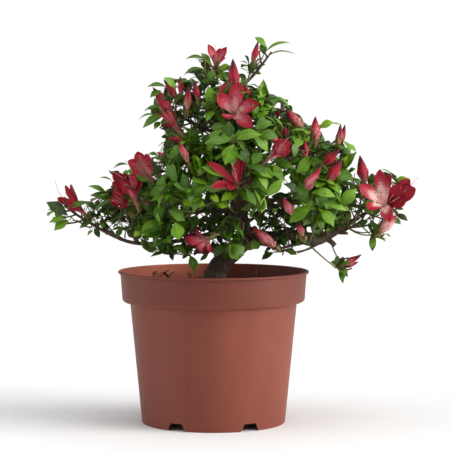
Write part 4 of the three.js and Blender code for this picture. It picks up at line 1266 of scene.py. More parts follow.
def petal_points(start, axis, depth, tip, width, roll):
    """The flat petal bent: a fifth of the tube round the flower's axis, then its lobe out to the tip."""
    across, along, through = PETAL.points.T
    throat = start + axis * depth
    out = tip - throat
    out = (out - axis * out.dot(axis)).normalized()
    side = axis.cross(out)
    reach, lift = (tip - throat).dot(out), (tip - throat).dot(axis)
    corners = [rows_of(corner) for corner in (
        start + out * TUBE_FOOT,
        start + axis * depth * TUBE_WAIST + out * TUBE_FOOT * 1.5,
        throat + axis * (0.45 * lift + 3) + out * (0.46 * reach + 1.4),
        tip,
    )]
    side, out = rows_of(side), rows_of(out)
    centre = bezier_place(corners, along[:, None])
    ahead = bezier_place([b - a for a, b in zip(corners, corners[1:])], along[:, None])
    ahead /= np.linalg.norm(ahead, axis=1)[:, None]
    back = np.cross(side, ahead)
    radius = ((centre - rows_of(start)) @ out)[:, None]
    turn = (across * math.pi / PETALS)[:, None]
    tube = centre + radius * (out * (np.cos(turn) - 1) + side * np.sin(turn))
    part = np.clip((along - TUBE_SHARE) / (1 - TUBE_SHARE), 0, 1)
    least = np.minimum(radius[:, 0], width) * LEAST_LOBE * (part < 0.5)
    lobe = np.maximum(lobe_widths(part, width), least)[:, None]
    across = across[:, None]
    ruffle = RUFFLE * part[:, None] * np.sin(RUFFLES * across + roll)
    groove = MIDDLE_GROOVE * np.exp(-((across / GROOVE_WIDTH) ** 2))
    flat = centre + side * across * lobe - back * (LOBE_BOWL * lobe * across**2 + ruffle - groove)
    opened = np.clip((along - TUBE_SHARE + 0.06) / 0.3, 0, 1)[:, None]
    opened = opened**2 * (3 - 2 * opened)
    return tube * (1 - opened) + flat * opened + back * through[:, None]


PETAL_WIDTH = 7.8
PETAL_REACH = 24
PETAL_RISE = 6
BUD_WIDTHS = {"bud": 1, "slim": 0.74}
BUD_WIDEST = 7.3
STAMEN_REACH = (8, 14)
STAMEN_SPREAD = (2.5, 6)
STAMEN_RADII = (0.32, 0.24)
ANTHER_SIZE = (0.75, 1.2)
STYLE_REACH = 19
STYLE_RADII = (0.45, 0.3)
STYLE_KNOB = 0.6
LONG_STYLE_KNOB = 0.8
CALYX_WIDTH = 3.3
CALYX_LENGTH = 5.5
CALYX_DROP = 7
BRACT_LENGTH = (8, 13)


def petal_tips(start, end, seen_tips, draw):
    """Where each petal ends and half its width: as the camera sees it, or spread evenly round the flower."""
    if seen_tips:
        return [(seen(across, down, end.y + behind), width) for across, down, behind, width in seen_tips]
    axis = (end - start).normalized()
    side, face = square(axis)
    first = draw() * TURN
    tips = []
    for i in range(PETALS):
        out = spoke(side, face, first + i * TURN / PETALS + 0.3 * (draw() - 0.5))
        reach = out * PETAL_REACH * mix(0.85, 1.15, draw())
        tip = end + reach + axis * (PETAL_RISE + 4 * (draw() - 0.5))
        tips.append((tip, PETAL_WIDTH * mix(0.92, 1.1, draw())))
    return tips


def add_flower(kind, start, end, colour, seen_tips, draw):
    axis = (end - start).normalized()
    side, face = square(axis)
    size = (end - start).length
    if kind in BUD_WIDTHS:
        wide = BUD_WIDTHS[kind] * min(BUD_WIDEST, 0.17 * size + 1.2)
        x_axis = spoke(side, face, draw() * TURN)
        points = placed(BUD, start, x_axis * wide, axis.cross(x_axis) * wide, axis * size)
        bud_heap.add(BUD, points, dress(BUD, colour, 2))
    else:
        for tip, width in petal_tips(start, end, seen_tips, draw):
            points = petal_points(start, axis, size, tip, width, draw() * 6)
            petal_heap.add(PETAL, points, dress(PETAL, colour, 1))
        add_stamens(start, axis, side, face, size, draw)
    add_calyx(start, axis, side, face, draw)


def add_stamens(start, axis, side, face, size, draw):
    """Five stamens, and the style, which reaches past them."""
    for i in range(PETALS + 1):
        style = i == PETALS
        out = spoke(side, face, draw() * TURN)
        length = size + (STYLE_REACH if style else mix(*STAMEN_REACH, draw()))
        spread = mix(*STAMEN_SPREAD, draw())
        middle = start + axis * length * 0.6 + out * spread * 0.3
        end = start + axis * length + out * spread + UP * (4 if style else 1.5)
        curve = bezier(start + axis * 2, middle, end)
        stamen_heap.add(THREAD_TUBE, tube_points(THREAD_TUBE, curve, STAMEN_RADII), 0)
        wide, long = (STYLE_KNOB, STYLE_KNOB) if style else ANTHER_SIZE
        stamen_heap.add(KNOB, placed(KNOB, end, side * wide, face * wide, axis * long), int(not style))


def add_style(depth, path):
    curve = through([seen(across, down, depth) for across, down in path])
    stamen_heap.add(THREAD_TUBE, tube_points(THREAD_TUBE, curve, STYLE_RADII), 0)
    stamen_heap.add(KNOB, placed(KNOB, curve.at(1), *np.eye(3) * LONG_STYLE_KNOB), 0)


def add_calyx(start, axis, side, face, draw):
    """The cup that a flower leaves, and small bracts round it."""
    wide = CALYX_WIDTH
    cup = placed(KNOB, start - axis * 3, side * wide, face * wide, axis * CALYX_LENGTH)
    calyx_heap.add(KNOB, cup, 0)
    bract = LEAVES[1]
    for i in range(PETALS):
        out = spoke(side, face, i * TURN / PETALS + draw())
        along = (axis + out * mix(0.15, 0.5, draw())).normalized()
        top = (axis - along * axis.dot(along)).normalized()
        length = mix(*BRACT_LENGTH, draw())
        root = start + out * 2 - axis * CALYX_DROP
        points = placed(bract, root, top.cross(along) * length * 0.22, along * length, -top * length)
        calyx_heap.add(bract, points, int(draw() < 0.3))


def back_flower(mass, turn, rise, kind, colour):
    turn, rise = math.radians(turn), math.radians(rise)
    level = Vector((math.cos(turn), math.sin(turn), 0))
    out = level * math.cos(rise) + UP * math.sin(rise)
    end = mass.middle + out * mass.edge_distance(out)
    axis = out.lerp(UP, BACK_FLOWER_BEND).normalized()
    return kind, end - axis * BACK_FLOWER_LENGTH, end, colour, None


flowers = [(kind, Vector(start), Vector(end), colour, tips) for kind, start, end, colour, tips in FLOWERS]
back_masses = [mass for name, mass in masses.items() if name.startswith("back_")]
for mass in back_masses:
    for flower in (back_flower(mass, *plan) for plan in BACK_FLOWERS):
        ways = (Vector((1, 0, 0)), Vector((-1, 0, 0)), UP)
        round_it = np.array([(flower[2] + BACK_FLOWER_ROOM * way)[:] for way in ways])
        if not past_the_crown(round_it).any():
            flowers.append(flower)

# How far leaves stay from three places along each flower, and from the sight of them
HEART_PARTS = (0.3, 0.7, 1)
ROOM = {"open": (5, 14, 19), "bud": (5, 7, 5), "slim": (4, 5, 4)}
SIGHT_MARGIN = 1.28
BEFORE = 6  # how far behind such a place a leaf already counts as before it
HEARTS = np.array([start.lerp(end, part)[:] for _, start, end, *_ in flowers for part in HEART_PARTS])
CLEAR = np.array([room for kind, *_ in flowers for room in ROOM[kind]])
SHOWN = CLEAR * SIGHT_MARGIN
# Leaves may stand between the camera and the flowers at the back
SHOWN[len(HEART_PARTS) * len(FLOWERS):] = 0

# Where the trunk shows between the leaves, and how far round it
OPEN_TRUNK = [(250, 239), (246, 228), (256, 234), (243, 218)]
OPEN_TRUNK_ROOM = 8
OPEN_TRUNK_DEPTH = 4
OPEN_TRUNK_PLACES = np.array([seen(across, down, -OPEN_TRUNK_DEPTH)[:] for across, down in OPEN_TRUNK])


def hides_a_flower(points):
    """True for a point inside a flower, or between it or the open trunk and the camera."""
    def from_the_sight_of(places):
        (across, up), (place_across, place_up) = on_the_picture(points), on_the_picture(places)
        return np.hypot(across[:, None] - place_across, up[:, None] - place_up)

    near = (np.linalg.norm(points[:, None, :] - HEARTS, axis=2) < CLEAR).any(axis=1)
    over = from_the_sight_of(HEARTS) < SHOWN
    before = points[:, 1:2] < HEARTS[:, 1] + BEFORE
    on_trunk = from_the_sight_of(OPEN_TRUNK_PLACES).min(axis=1) < OPEN_TRUNK_ROOM
    return near | (over & before).any(axis=1) | (on_trunk & (points[:, 1] < OPEN_TRUNK_DEPTH))


# Growth

TWIG_RADII = (1.25, 0.85)
SHOOT_RADII = (0.8, 0.5)
STALK_RADII = (1, 0.9)
SPRAY_RADII = (1.2, 0.7)
THICKET_RADII = (1.1, 0.6)
LEAF_STALK_RADII = (0.6, 0.4)
PAINTED_LIGHT_STEPS = (0.18, 0.42, 0.78)
CROWN_FOOT = 200
CROWN_HEIGHT = 280
CROWN_MIDDLE = (25, 5)
CROWN_REACH = 190


def leaf_side(mass):
    if mass.middle.y >= BACK_DEPTH:
        return "back"
    return "left" if mass.middle.x < MIDDLE_ACROSS else "right"


def leaf_tint_with_painted_light(point, draw):
    """The tint of a whole spray: fresh where young, else painted light and painted shade, lighter at the top
    and outside and deeper within.
    """
    for middle, reach in FRESH_SPRAYS:
        if (point - Vector(middle)).length < reach and draw() < FRESH_CHANCE:
            return FRESH
    # Painted light and shade: sprays high up and at the outside get a lighter tint, those deep within a
    # darker one.
    height = (point.z - CROWN_FOOT) / CROWN_HEIGHT
    across, deep = point.x - CROWN_MIDDLE[0], point.y - CROWN_MIDDLE[1]
    outside = math.hypot(across, deep * 1.3) / CROWN_REACH
    light = 0.55 * height + 0.75 * outside + 0.55 * (draw() - 0.5)
    return sum(light >= step for step in PAINTED_LIGHT_STEPS)


def shows_well(ends):
    """True for a leaf that leaves the sky, the crown's edge and the flowers free."""
    return not (in_the_sky(ends).any() or past_the_crown(ends).any() or hides_a_flower(ends).any())


def clear_of_limbs(ends):
    return outside_pot(ends).all() and (room_to_limbs(ends) > LEAF_ROOM).all()


def add_leaf(heap, form, root, along, top, length, width, colour):
    """A leaf along a direction, with its upper side as near to the top as it can be."""
    top = (top - along * top.dot(along)).normalized()
    slots = np.where(form.slots == 1, UNDERSIDE, colour)
    heap.add(form, placed(form, root, top.cross(along) * width / 2, along * length, top * length), slots)


def grow_leaf(mass, root, axis, angle, tilt, length, colour, draw):
    """A leaf from a shoot, at the first of a few turns where it has room."""
    side, face = square(axis)
    form = LEAVES[min(2, int(draw() * 3))]
    edge = mix(*LEAF_EDGE, draw())
    for attempt in range(LEAF_TRIES):
        out = spoke(side, face, angle + attempt * GOLDEN_ANGLE)
        along = axis * math.cos(tilt) + out * math.sin(tilt)
        ends = np.array([(root + along * length * part)[:] for part in LEAF_PARTS])
        if (room_in_cell(mass, ends) < -LEAF_SLACK).any() or (reach_of(mass, ends) > edge).any():
            continue
        if clear_of_limbs(ends) and shows_well(ends):
            heap, width = leaf_heaps[leaf_side(mass)], length * LEAF_SHAPE
            add_leaf(heap, form, root, along, axis + UP * LEAF_TOP_LIFT, length, width, colour)
            return


def grow_whorl(mass, tip, axis, colour, draw):
    start = draw() * TURN
    lightest = max(BRIGHT, colour)
    for i in range(WHORL):
        angle = start + i * TURN / WHORL + 0.5 * (draw() - 0.5)
        tilt = math.radians(mix(*WHORL_TILT, draw()))
        shade = min(lightest, max(0, colour + (draw() < 0.15) - (draw() < 0.15)))
        root = tip - axis * draw() * 3
        grow_leaf(mass, root, axis, angle, tilt, mix(*LEAF_LENGTH, draw()), shade, draw)
    angle = draw() * 6
    shade = min(lightest, colour + 1)
    grow_leaf(mass, tip, axis, angle, YOUNG_LEAF_TILT, mix(*YOUNG_LEAF_LENGTH, draw()), shade, draw)


def grow_shoot(mass, foot, direction, lengths, draw):
    """A shoot that curves up, with a whorl of leaves at its tip and a few along it."""
    if draw() > THIN.get(mass.name, 1):
        return
    for length in lengths:
        reach = length * mix(*SHOOT_VARIETY, draw())
        tip = foot + direction * reach + UP * reach * SHOOT_BOW
        line = probes(foot + direction * 2, tip)
        inside = (room_in_cell(mass, line) > 0).all() and (reach_of(mass, line) < 1).all()
        if inside and outside_pot(line).all() and (room_to_limbs(line[2:]) > SHOOT_ROOM).all():
            break
    else:
        return
    if in_the_sky(line[-1:]).any() or past_the_crown(line[-1:]).any():
        return
    curve = bezier(foot, foot + direction * reach * 0.5, tip)
    add_wood(SHOOT_TUBE, curve, SHOOT_RADII, True)
    colour = leaf_tint_with_painted_light(tip, draw)
    grow_whorl(mass, tip, curve.heading(1), colour, draw)
    for i in range(SHOOT_LEAVES):
        share = mix(*SIDE_LEAF_PLACES, (i + 0.5) / SHOOT_LEAVES)
        turn = i * GOLDEN_ANGLE + mass.seed
        tilt = math.radians(mix(*SIDE_LEAF_TILT, draw()))
        length = mix(*SIDE_LEAF_LENGTH, draw())
        shade = max(0, colour - (draw() < 0.6))
        grow_leaf(mass, curve.at(share), curve.heading(share), turn, tilt, length, shade, draw)
    mass.wood.append(tip)


def spiral(axis, turn, tilt, lift):
    """The direction of a side shoot, at a turn and a tilt from its axis and lifted towards the light."""
    out = axis * math.cos(tilt) + spoke(*square(axis), turn) * math.sin(tilt)
    return out.lerp(UP, lift).normalized()


def grow_twig(mass, index):
    """A twig of the solids, with its finer shoots."""
    draw = stream(mass.seed * SEED_STEP + index)
    share = (index + FIRST_TWIG) / TWIGS
    foot = mass.stem.at(share)
    tilt = math.radians(mix(*TWIG_TILT, draw()))
    direction = spiral(mass.stem.heading(share), index * GOLDEN_ANGLE + mass.seed, tilt, TWIG_LIFT)
    room = mass.room_to_edge(foot, direction)
    for way in TWIG_REACH:
        tip = foot + direction * way * room
        line = probes(foot, tip)
        if twig_fits(mass, line) and not past_the_crown(line[-2:]).any():
            break
    else:
        return
    bow = UP * (tip - foot).length * TWIG_BOW
    curve = bezier(foot, foot.lerp(tip, 0.5) - bow, tip)
    add_wood(TWIG_TUBE, curve, TWIG_RADII, False)
    mass.wood += [curve.at(part) for part in TWIG_WOOD]
    grow_shoots(mass, curve, draw, index)


def grow_shoots(mass, curve, draw, index):
    for i, share in enumerate(SHOOT_PLACES):
        turn = i * GOLDEN_ANGLE + mass.seed + index
        heading = spiral(curve.heading(share), turn, math.radians(mix(*SHOOT_TILT, draw())), SHOOT_LIFT)
        grow_shoot(mass, curve.at(share), heading, SHOOT_LENGTHS, draw)
    heading = curve.heading(1).lerp(UP, LEADER_LIFT).normalized()
    grow_shoot(mass, curve.at(1), heading, LEADER_LENGTHS, draw)


def grow_mass(mass):
    add_wood(TWIG_TUBE, mass.stem, (mass.stem_radius, 1.1), False)
    mass.wood += [mass.stem.at(part) for part in STEM_WOOD]
    for index in range(TWIGS):
        grow_twig(mass, index)
    grow_shoots(mass, mass.stem, stream(mass.seed), 0)


def nearest_wood(mass, place):
    return min(mass.wood, key=lambda wood: (wood - place).length)


def nearest_limb(mass, place):
    """The nearest place on any limb, or on the wood of the mass."""
    starts = [Vector(start) for start in LINE_STARTS]
    return min([nearest_wood(mass, place), *starts], key=lambda start: (start - place).length)


def grow_flower(kind, start, end, colour, tips, index):
    """A flower on its stalk, from the nearest wood, in a ruff of leaves."""
    draw = stream(FLOWER_SEED + index)
    middle = start.lerp(end, 0.5)
    near = min(masses.values(), key=lambda mass: (mass.middle - middle).length_squared - mass.size**2)
    axis = (end - start).normalized()
    foot = start - axis * CALYX_DROP
    places = [nearest_wood(mass, foot) for mass in masses.values()]
    place = min(places, key=lambda place: (place - foot).length)
    curve = bezier(place, foot - axis * (foot - place).length * 0.5, foot)
    add_wood(SHOOT_TUBE, curve, STALK_RADII, True)
    add_flower(kind, start, end, colour, tips, draw)
    shade = leaf_tint_with_painted_light(start, draw)
    for i in range(FLOWER_LEAVES):
        tilt = math.radians(mix(*FLOWER_LEAF_TILT, draw()))
        root = foot - axis * mix(0, 4, draw())
        angle = i * FLOWER_LEAF_TURN + draw()
        grow_leaf(near, root, axis, angle, tilt, mix(*FLOWER_LEAF_LENGTH, draw()), shade, draw)


def add_leaf_stalk(start, end):
    add_wood(SHOOT_TUBE, bezier(start, start.lerp(end, 0.5) - UP, end), LEAF_STALK_RADII, True)


def grow_spray(name, depth, path, leaves, index):
    """A shoot with leaves where the camera sees them."""
    draw = stream(SPRAY_SEED + index)
    mass = masses[name]
    places = [seen(across, down, depth) for across, down in path]
    curve = through([nearest_limb(mass, places[0]), *places])
    add_wood(TWIG_TUBE, curve, SPRAY_RADII, True)
    along = [curve.at(i / LINE_SAMPLES) for i in range(LINE_SAMPLES + 1)]
    for root_across, root_down, tip_across, tip_down, width, shade, *facing in leaves:
        root = seen(root_across, root_down, depth + mix(*SPRAY_ROOT_DEPTH, draw()))
        tip = seen(tip_across, tip_down, depth + mix(*SPRAY_TIP_DEPTH, draw()))
        place = min(along, key=lambda point: (point - root).length)
        if (place - root).length > 1:
            add_leaf_stalk(place, root)
        put_leaf(leaf_heaps[leaf_side(mass)], root, tip, width, LEAF_TINTS.index(shade), draw, *facing)


def put_leaf(heap, root, tip, width, colour, draw, facing=FACING):
    """A leaf from its root to its tip, which turns its upper side to the sky or to the camera."""
    form = LEAVES[2 if draw() < 0.6 or facing < 0.5 else 1]
    along = (tip - root).normalized()
    top = UP * (1 - facing) + Vector((0, -facing, 0))
    add_leaf(heap, form, root, along, top, (tip - root).length, width, colour)


def grow_thicket(name, depth, path, shade, index):
    """A thin shoot along a path that the camera sees, with side shoots and small leaves."""
    draw = stream(THICKET_SEED + index)
    places = [seen(across, down, depth + mix(*THICKET_WANDER, draw())) for across, down in path]
    curve = through([nearest_limb(masses[name], places[0]), *places])
    add_wood(SHOOT_TUBE, curve, THICKET_RADII, True)
    colour = LEAF_TINTS.index(shade)
    heap = leaf_heaps["back" if depth > THICKET_BACK else leaf_side(masses[name])]
    for i in range(2, round(curve.length / THICKET_STEP) + 1):
        share = min(1, i * THICKET_STEP / curve.length)
        foot = curve.at(share)
        tilt = math.radians(mix(*THICKET_TILT, draw()))
        direction = spiral(curve.heading(share), i * GOLDEN_ANGLE + index, tilt, THICKET_LIFT)
        tip = foot + direction * mix(*THICKET_SHOOT, draw())
        end = np.array([tip[:]])
        if (room_to_limbs(end) < SHOOT_ROOM).any() or not shows_well(end):
            continue
        add_leaf_stalk(foot, tip)
        side, face = square(direction)
        for leaf in range(THICKET_LEAVES):
            out = spoke(side, face, leaf * TURN / THICKET_LEAVES + index + i)
            way = (direction + out * mix(*THICKET_SPREAD, draw())).normalized()
            end = tip + way * mix(*THICKET_LEAF, draw())
            ends = np.array([tip.lerp(end, part)[:] for part in LEAF_PARTS])
            if clear_of_limbs(ends) and shows_well(ends):
                tone = max(0, colour - (draw() < 0.3) + (draw() < 0.3))
                put_leaf(heap, tip, end, (end - tip).length * LEAF_SHAPE, tone, draw, THICKET_FACING)


for mass in masses.values():
    grow_mass(mass)
for index, flower in enumerate(flowers):
    grow_flower(*flower, index)
for style in STYLES:
    add_style(*style)
for index, spray in enumerate(SPRAYS):
    grow_spray(*spray, index)
for index, thicket in enumerate(THICKETS):
    grow_thicket(*thicket, index)
for places, radii in BARE_WOOD:
    add_wood(TWIG_TUBE, through(places), radii, False)


# Trunk and boughs, with the relief of their bark

BARK_COLOURS = [(34, 26, 19), (58, 46, 34), (86, 72, 55)]
DARK_BARK_COLOURS = [(38, 29, 22), (70, 54, 42), (102, 83, 65)]
BARK = finish("bark", BARK_COLOURS, 120, 0.9, 0.9, 420, detail=8, stretch=(1.6, 1.6, 0.7))
DARK_BARK = finish("dark_bark", DARK_BARK_COLOURS, 120, 0.85, 0.9, 420, detail=8)
SWELLING = 0.09
FURROWS = 0.055
GRAIN = 0.22
# How many sides a limb's mesh has, and how far apart its rings are
LIMB_MESHES = {"trunk": (48, 1.6), "right_bough": (32, 2)}
PLAIN_LIMB_MESH = (14, 4)
FORK_COLLAR = 0.35
FORK_COLLAR_LENGTH = 9
TRUNK_CUT = SOIL_LEVEL - 2


def bark_relief(place, around, along, radius):
    """How far the bark stands out: broad swellings, then furrows that run along the limb."""
    swell = noise.noise(place * 0.05) * SWELLING * radius
    furrows = noise.noise(Vector((around.x * 4, around.y * 4, along * 0.06 + around.x))) * FURROWS * radius
    grain = noise.fractal(Vector((place.x * 0.5, place.y * 0.5, place.z * 0.22)), 0.8, 2.2, 3) * GRAIN
    return swell + furrows + grain


# Limbs that are drawn more slender than their solids
SLENDER = {"drop_bough": 0.42}


def limb_piece(limb, sides, step):
    """A limb with its bark, a swelling where it leaves another, and for the trunk a cut under the soil."""
    rings = max(8, round(limb.curve.length / step))
    bm = tube_mesh(sides, rings)
    frames = frames_along(limb.curve, rings)
    for vert in bm.verts:
        x, y, z = vert.co
        centre, side, face = frames[round(z * rings)]
        out = side * x + face * y
        along = z * limb.curve.length
        radius = limb.radius_at(z, centre, out) * SLENDER.get(limb.name, 1)
        collar = 0 if limb.name == "trunk" else FORK_COLLAR * radius * math.exp(-along / FORK_COLLAR_LENGTH)
        place = centre + out * (radius + collar)
        vert.co = (place + out * bark_relief(place, Vector((x, y, 0)), along, radius)) * MM
    if limb.name == "trunk":
        cut = bmesh.ops.bisect_plane(
            bm, geom=bm.verts[:] + bm.edges[:] + bm.faces[:], plane_co=(0, 0, TRUNK_CUT * MM),
            plane_no=(0, 0, 1), clear_inner=True,
        )
        rim = [item for item in cut["geom_cut"] if isinstance(item, bmesh.types.BMEdge)]
        bmesh.ops.edgeloop_fill(bm, edges=rim)
    return piece_from(bm, limb.name + "_bark")


def piece_from(bm, name):
    bmesh.ops.recalc_face_normals(bm, faces=bm.faces[:])
    mesh = bpy.data.meshes.new(name)
    bm.to_mesh(mesh)
    bm.free()
    mesh.shade_smooth()
    return new_object(name, mesh)


def finished(piece, *finishes):
    for material in finishes:
        piece.data.materials.append(material)
    return piece


def on_the_part(piece, slot, *nodes):
    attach(piece, "root")
    if nodes:
        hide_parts(*nodes)
    return piece


EDGE_ANGLE = 70  # the edge of a leaf or petal is sharper than this

for limb in limbs.values():
    piece = limb_piece(limb, *LIMB_MESHES.get(limb.name, PLAIN_LIMB_MESH))
    on_the_part(finished(piece, BARK if limb.name == "trunk" else DARK_BARK), "bark", limb.name)

for side, heap in leaf_heaps.items():
    nodes = [mass.name for mass in masses.values() if leaf_side(mass) == side]
    on_the_part(heap.piece(sharp=EDGE_ANGLE), "foliage", *nodes)
on_the_part(twig_heap.piece(), "bark")
on_the_part(petal_heap.piece(sharp=EDGE_ANGLE), "foliage")
for heap in (bud_heap, calyx_heap, stamen_heap):
    on_the_part(heap.piece(), "foliage")


# Pot

def wall_radius(height):
    return mix(FOOT_RADIUS, BODY_TOP_RADIUS, height / SHOULDER_HEIGHT)


SHOULDER_HEIGHT = POT_HEIGHT - COLLAR_HEIGHT - SHOULDER_DROP
COLLAR_FOOT = POT_HEIGHT - COLLAR_HEIGHT
FLOOR_TOP = FLOOR_UNDERSIDE + FLOOR_THICKNESS
POT_EDGE_ANGLE = 28


def turned(outline, steps=POT_TURNS):
    """A closed shape of revolution from its outline, which starts and ends on the axis."""
    bm = bmesh.new()
    verts = [bm.verts.new((radius * MM, 0, height * MM)) for radius, height in outline]
    edges = [bm.edges.new(pair) for pair in zip(verts, verts[1:])]
    bmesh.ops.spin(
        bm, geom=verts + edges, axis=(0, 0, 1), cent=(0, 0, 0), angle=TURN, steps=steps, use_merge=True,
    )
    bmesh.ops.remove_doubles(bm, verts=bm.verts[:], dist=1e-6)
    return bm


def pot_outline():
    lip_foot = POT_HEIGHT - LIP_HEIGHT
    return [
        (0, 0),
        (PAD_RADIUS, 0),
        (PAD_RADIUS + PAD_SLOPE, FLOOR_UNDERSIDE),
        (wall_radius(FLOOR_UNDERSIDE) - WALL, FLOOR_UNDERSIDE),
        (FOOT_RADIUS - WALL, 0),
        (FOOT_RADIUS - 0.6, 0),
        (FOOT_RADIUS, 0.8),
        (wall_radius(SHOULDER_HEIGHT - 1), SHOULDER_HEIGHT - 1),
        (BODY_TOP_RADIUS + 0.8, SHOULDER_HEIGHT + 0.2),
        (COLLAR_FOOT_RADIUS - 3.4, SHOULDER_HEIGHT + 1.4),
        (COLLAR_FOOT_RADIUS - 1.2, SHOULDER_HEIGHT + 2.6),
        (COLLAR_FOOT_RADIUS - 0.2, SHOULDER_HEIGHT + 4.4),
        (COLLAR_FOOT_RADIUS, COLLAR_FOOT),
        (COLLAR_TOP_RADIUS - 0.2, lip_foot - 0.4),
        (LIP_RADIUS - 0.6, lip_foot + 0.1),
        (LIP_RADIUS, lip_foot + 0.9),
        (LIP_RADIUS, POT_HEIGHT - 0.8),
        (LIP_RADIUS - 0.7, POT_HEIGHT),
        (COLLAR_TOP_RADIUS - 0.2, POT_HEIGHT),
        (COLLAR_TOP_RADIUS - 1.2, POT_HEIGHT - 0.8),
        (COLLAR_TOP_RADIUS - WALL, lip_foot),
        (COLLAR_FOOT_RADIUS - WALL, COLLAR_FOOT),
        (BODY_TOP_RADIUS - WALL, SHOULDER_HEIGHT + WALL),
        (wall_radius(FLOOR_TOP) - WALL, FLOOR_TOP),
        (PAD_RADIUS + PAD_SLOPE - PAD_INSET, FLOOR_TOP),
        (PAD_RADIUS - PAD_INSET, FLOOR_THICKNESS),
        (0, FLOOR_THICKNESS),
    ]


def notch_cutter():
    """Blocks round the foot that the drain notches are cut with."""
    bm = bmesh.new()
    for i in range(NOTCHES):
        made = bmesh.ops.create_cube(bm, size=1)["verts"]
        for vert in made:
            x, y, z = vert.co
            wide = NOTCH_TOP_WIDTH if z > 0 else NOTCH_FOOT_WIDTH
            vert.co = (x * wide, y * NOTCH_DEPTH - FOOT_RADIUS, NOTCH_HEIGHT if z > 0 else -1)
        turn = Matrix.Rotation((i + 0.5) * TURN / NOTCHES, 4, "Z")
        bmesh.ops.transform(bm, matrix=turn, verts=made)
    bmesh.ops.scale(bm, vec=(MM, MM, MM), verts=bm.verts[:])
    return piece_from(bm, "notch_cutter")


def applied(piece):
    """The piece with its modifiers made part of its mesh."""
    depsgraph = bpy.context.evaluated_depsgraph_get()
    mesh = bpy.data.meshes.new_from_object(piece.evaluated_get(depsgraph))
    piece.modifiers.clear()
    piece.data = mesh
    return piece


def make_pot():
    pot = piece_from(turned(pot_outline()), "pot_shell")
    cutter = notch_cutter()
    cut = pot.modifiers.new("notches", "BOOLEAN")
    cut.operation = "DIFFERENCE"
    cut.solver = "EXACT"
    cut.object = cutter
    applied(pot)
    bpy.data.objects.remove(cutter)
    pot.data.shade_smooth()
    pot.data.set_sharp_from_angle(angle=math.radians(POT_EDGE_ANGLE))
    return pot


def pot_finish():
    """Moulded brown plastic: dusty, scuffed in places, and with painted shade that darkens its collar."""
    material = finish(
        "pot_plastic", [(108, 49, 34), (116, 55, 38), (125, 62, 45)], 14, 0.54, 0.12, 900,
        stretch=(1, 1, 0.25), shine=0.32,
    )
    place = place_in(material)
    dust = mottled(material, place, 900, 3)
    lay_over(material, ranged(material, dust, 0.5, 0.72, 0.16), (158, 108, 92))
    scuffs = mottled(material, place, 75, 8, 0.7)
    lay_over(material, ranged(material, scuffs, 0.64, 0.78, 0.5), (160, 104, 88))
    # Painted shade: the pot is made darker from just under the collar's foot up to the lip.
    height = coordinate(material, place, "Z")
    collar = ranged(material, height, (COLLAR_FOOT - 4) * MM, COLLAR_FOOT * MM, 0.46)
    lay_over(material, collar, (82, 32, 20))
    return material


def inside_finish_with_painted_light():
    """The thin plastic of the inside, with painted light: lighter towards the left, where the lamp from the
    right falls on the inner wall.
    """
    material = finish("pot_inside_painted_light", [(110, 52, 38), (120, 60, 44)], 14, 0.6, shine=0.25)
    across = coordinate(material, place_in(material), "X")
    # Painted light: a pale warm colour laid over the inner wall, strongest at the left.
    lay_over(material, ranged(material, across, 20 * MM, -80 * MM), (255, 146, 118))
    return material


def dress_inside(pot):
    """Gives the faces of the pot's inner wall their own finish, which holds painted light."""
    for face in pot.data.polygons:
        across, along = face.center[0], face.center[1]
        inward = face.normal[0] * across + face.normal[1] * along < 0
        face.material_index = int(inward and face.center[2] > FLOOR_TOP * MM)
    return pot


on_the_part(dress_inside(finished(make_pot(), pot_finish(), inside_finish_with_painted_light())), "pot", "pot")


# Soil

def make_soil():
    away = WALL + 0.4
    edge = SOIL_LEVEL - SOIL_EDGE_DROP
    rim = mix(COLLAR_FOOT_RADIUS, COLLAR_TOP_RADIUS, (edge - COLLAR_FOOT) / COLLAR_HEIGHT) - away
    inward = [i / SOIL_RINGS for i in range(SOIL_RINGS + 1)]
    surface = [(rim * (1 - share), mix(edge, SOIL_LEVEL, smooth(0, 0.45, share))) for share in inward]
    bm = turned([
        (0, FLOOR_THICKNESS + GAP),
        (PAD_RADIUS - PAD_INSET - 0.2, FLOOR_THICKNESS + GAP),
        (PAD_RADIUS + PAD_SLOPE - PAD_INSET - 0.2, FLOOR_TOP + GAP),
        (wall_radius(FLOOR_TOP) - away, FLOOR_TOP + GAP),
        (BODY_TOP_RADIUS - away, SHOULDER_HEIGHT + WALL + GAP),
        (COLLAR_FOOT_RADIUS - away, COLLAR_FOOT + 0.4),
        *surface,
    ], steps=SOIL_TURNS)
    for vert in bm.verts:
        if vert.co.z > (edge - 1) * MM:
            place = vert.co / MM
            vert.co.z += MM * SOIL_RELIEF * noise.fractal(place * 0.07, 0.7, 2.1, 4)
    return piece_from(bm, "soil_ground")


# Upright bits as the camera sees their tops: across, down, depth, width, and the kind, which is 0 or 1
# for bark, 2 for a pale grain and 3 for a dry bit
TALL_BITS = [
    (157, 270.5, 84, 6, 3), (170, 268.5, 88, 4, 3), (187, 270.5, 90, 6, 3), (200.5, 267, 96, 3, 3),
    (204, 270, 94, 5, 1), (255.5, 269.5, 97, 2.2, 3), (174.5, 271, 86, 5, 3), (163, 271.5, 80, 5, 1),
    (192, 271, 88, 4, 3), (210, 271, 90, 5, 3),
]


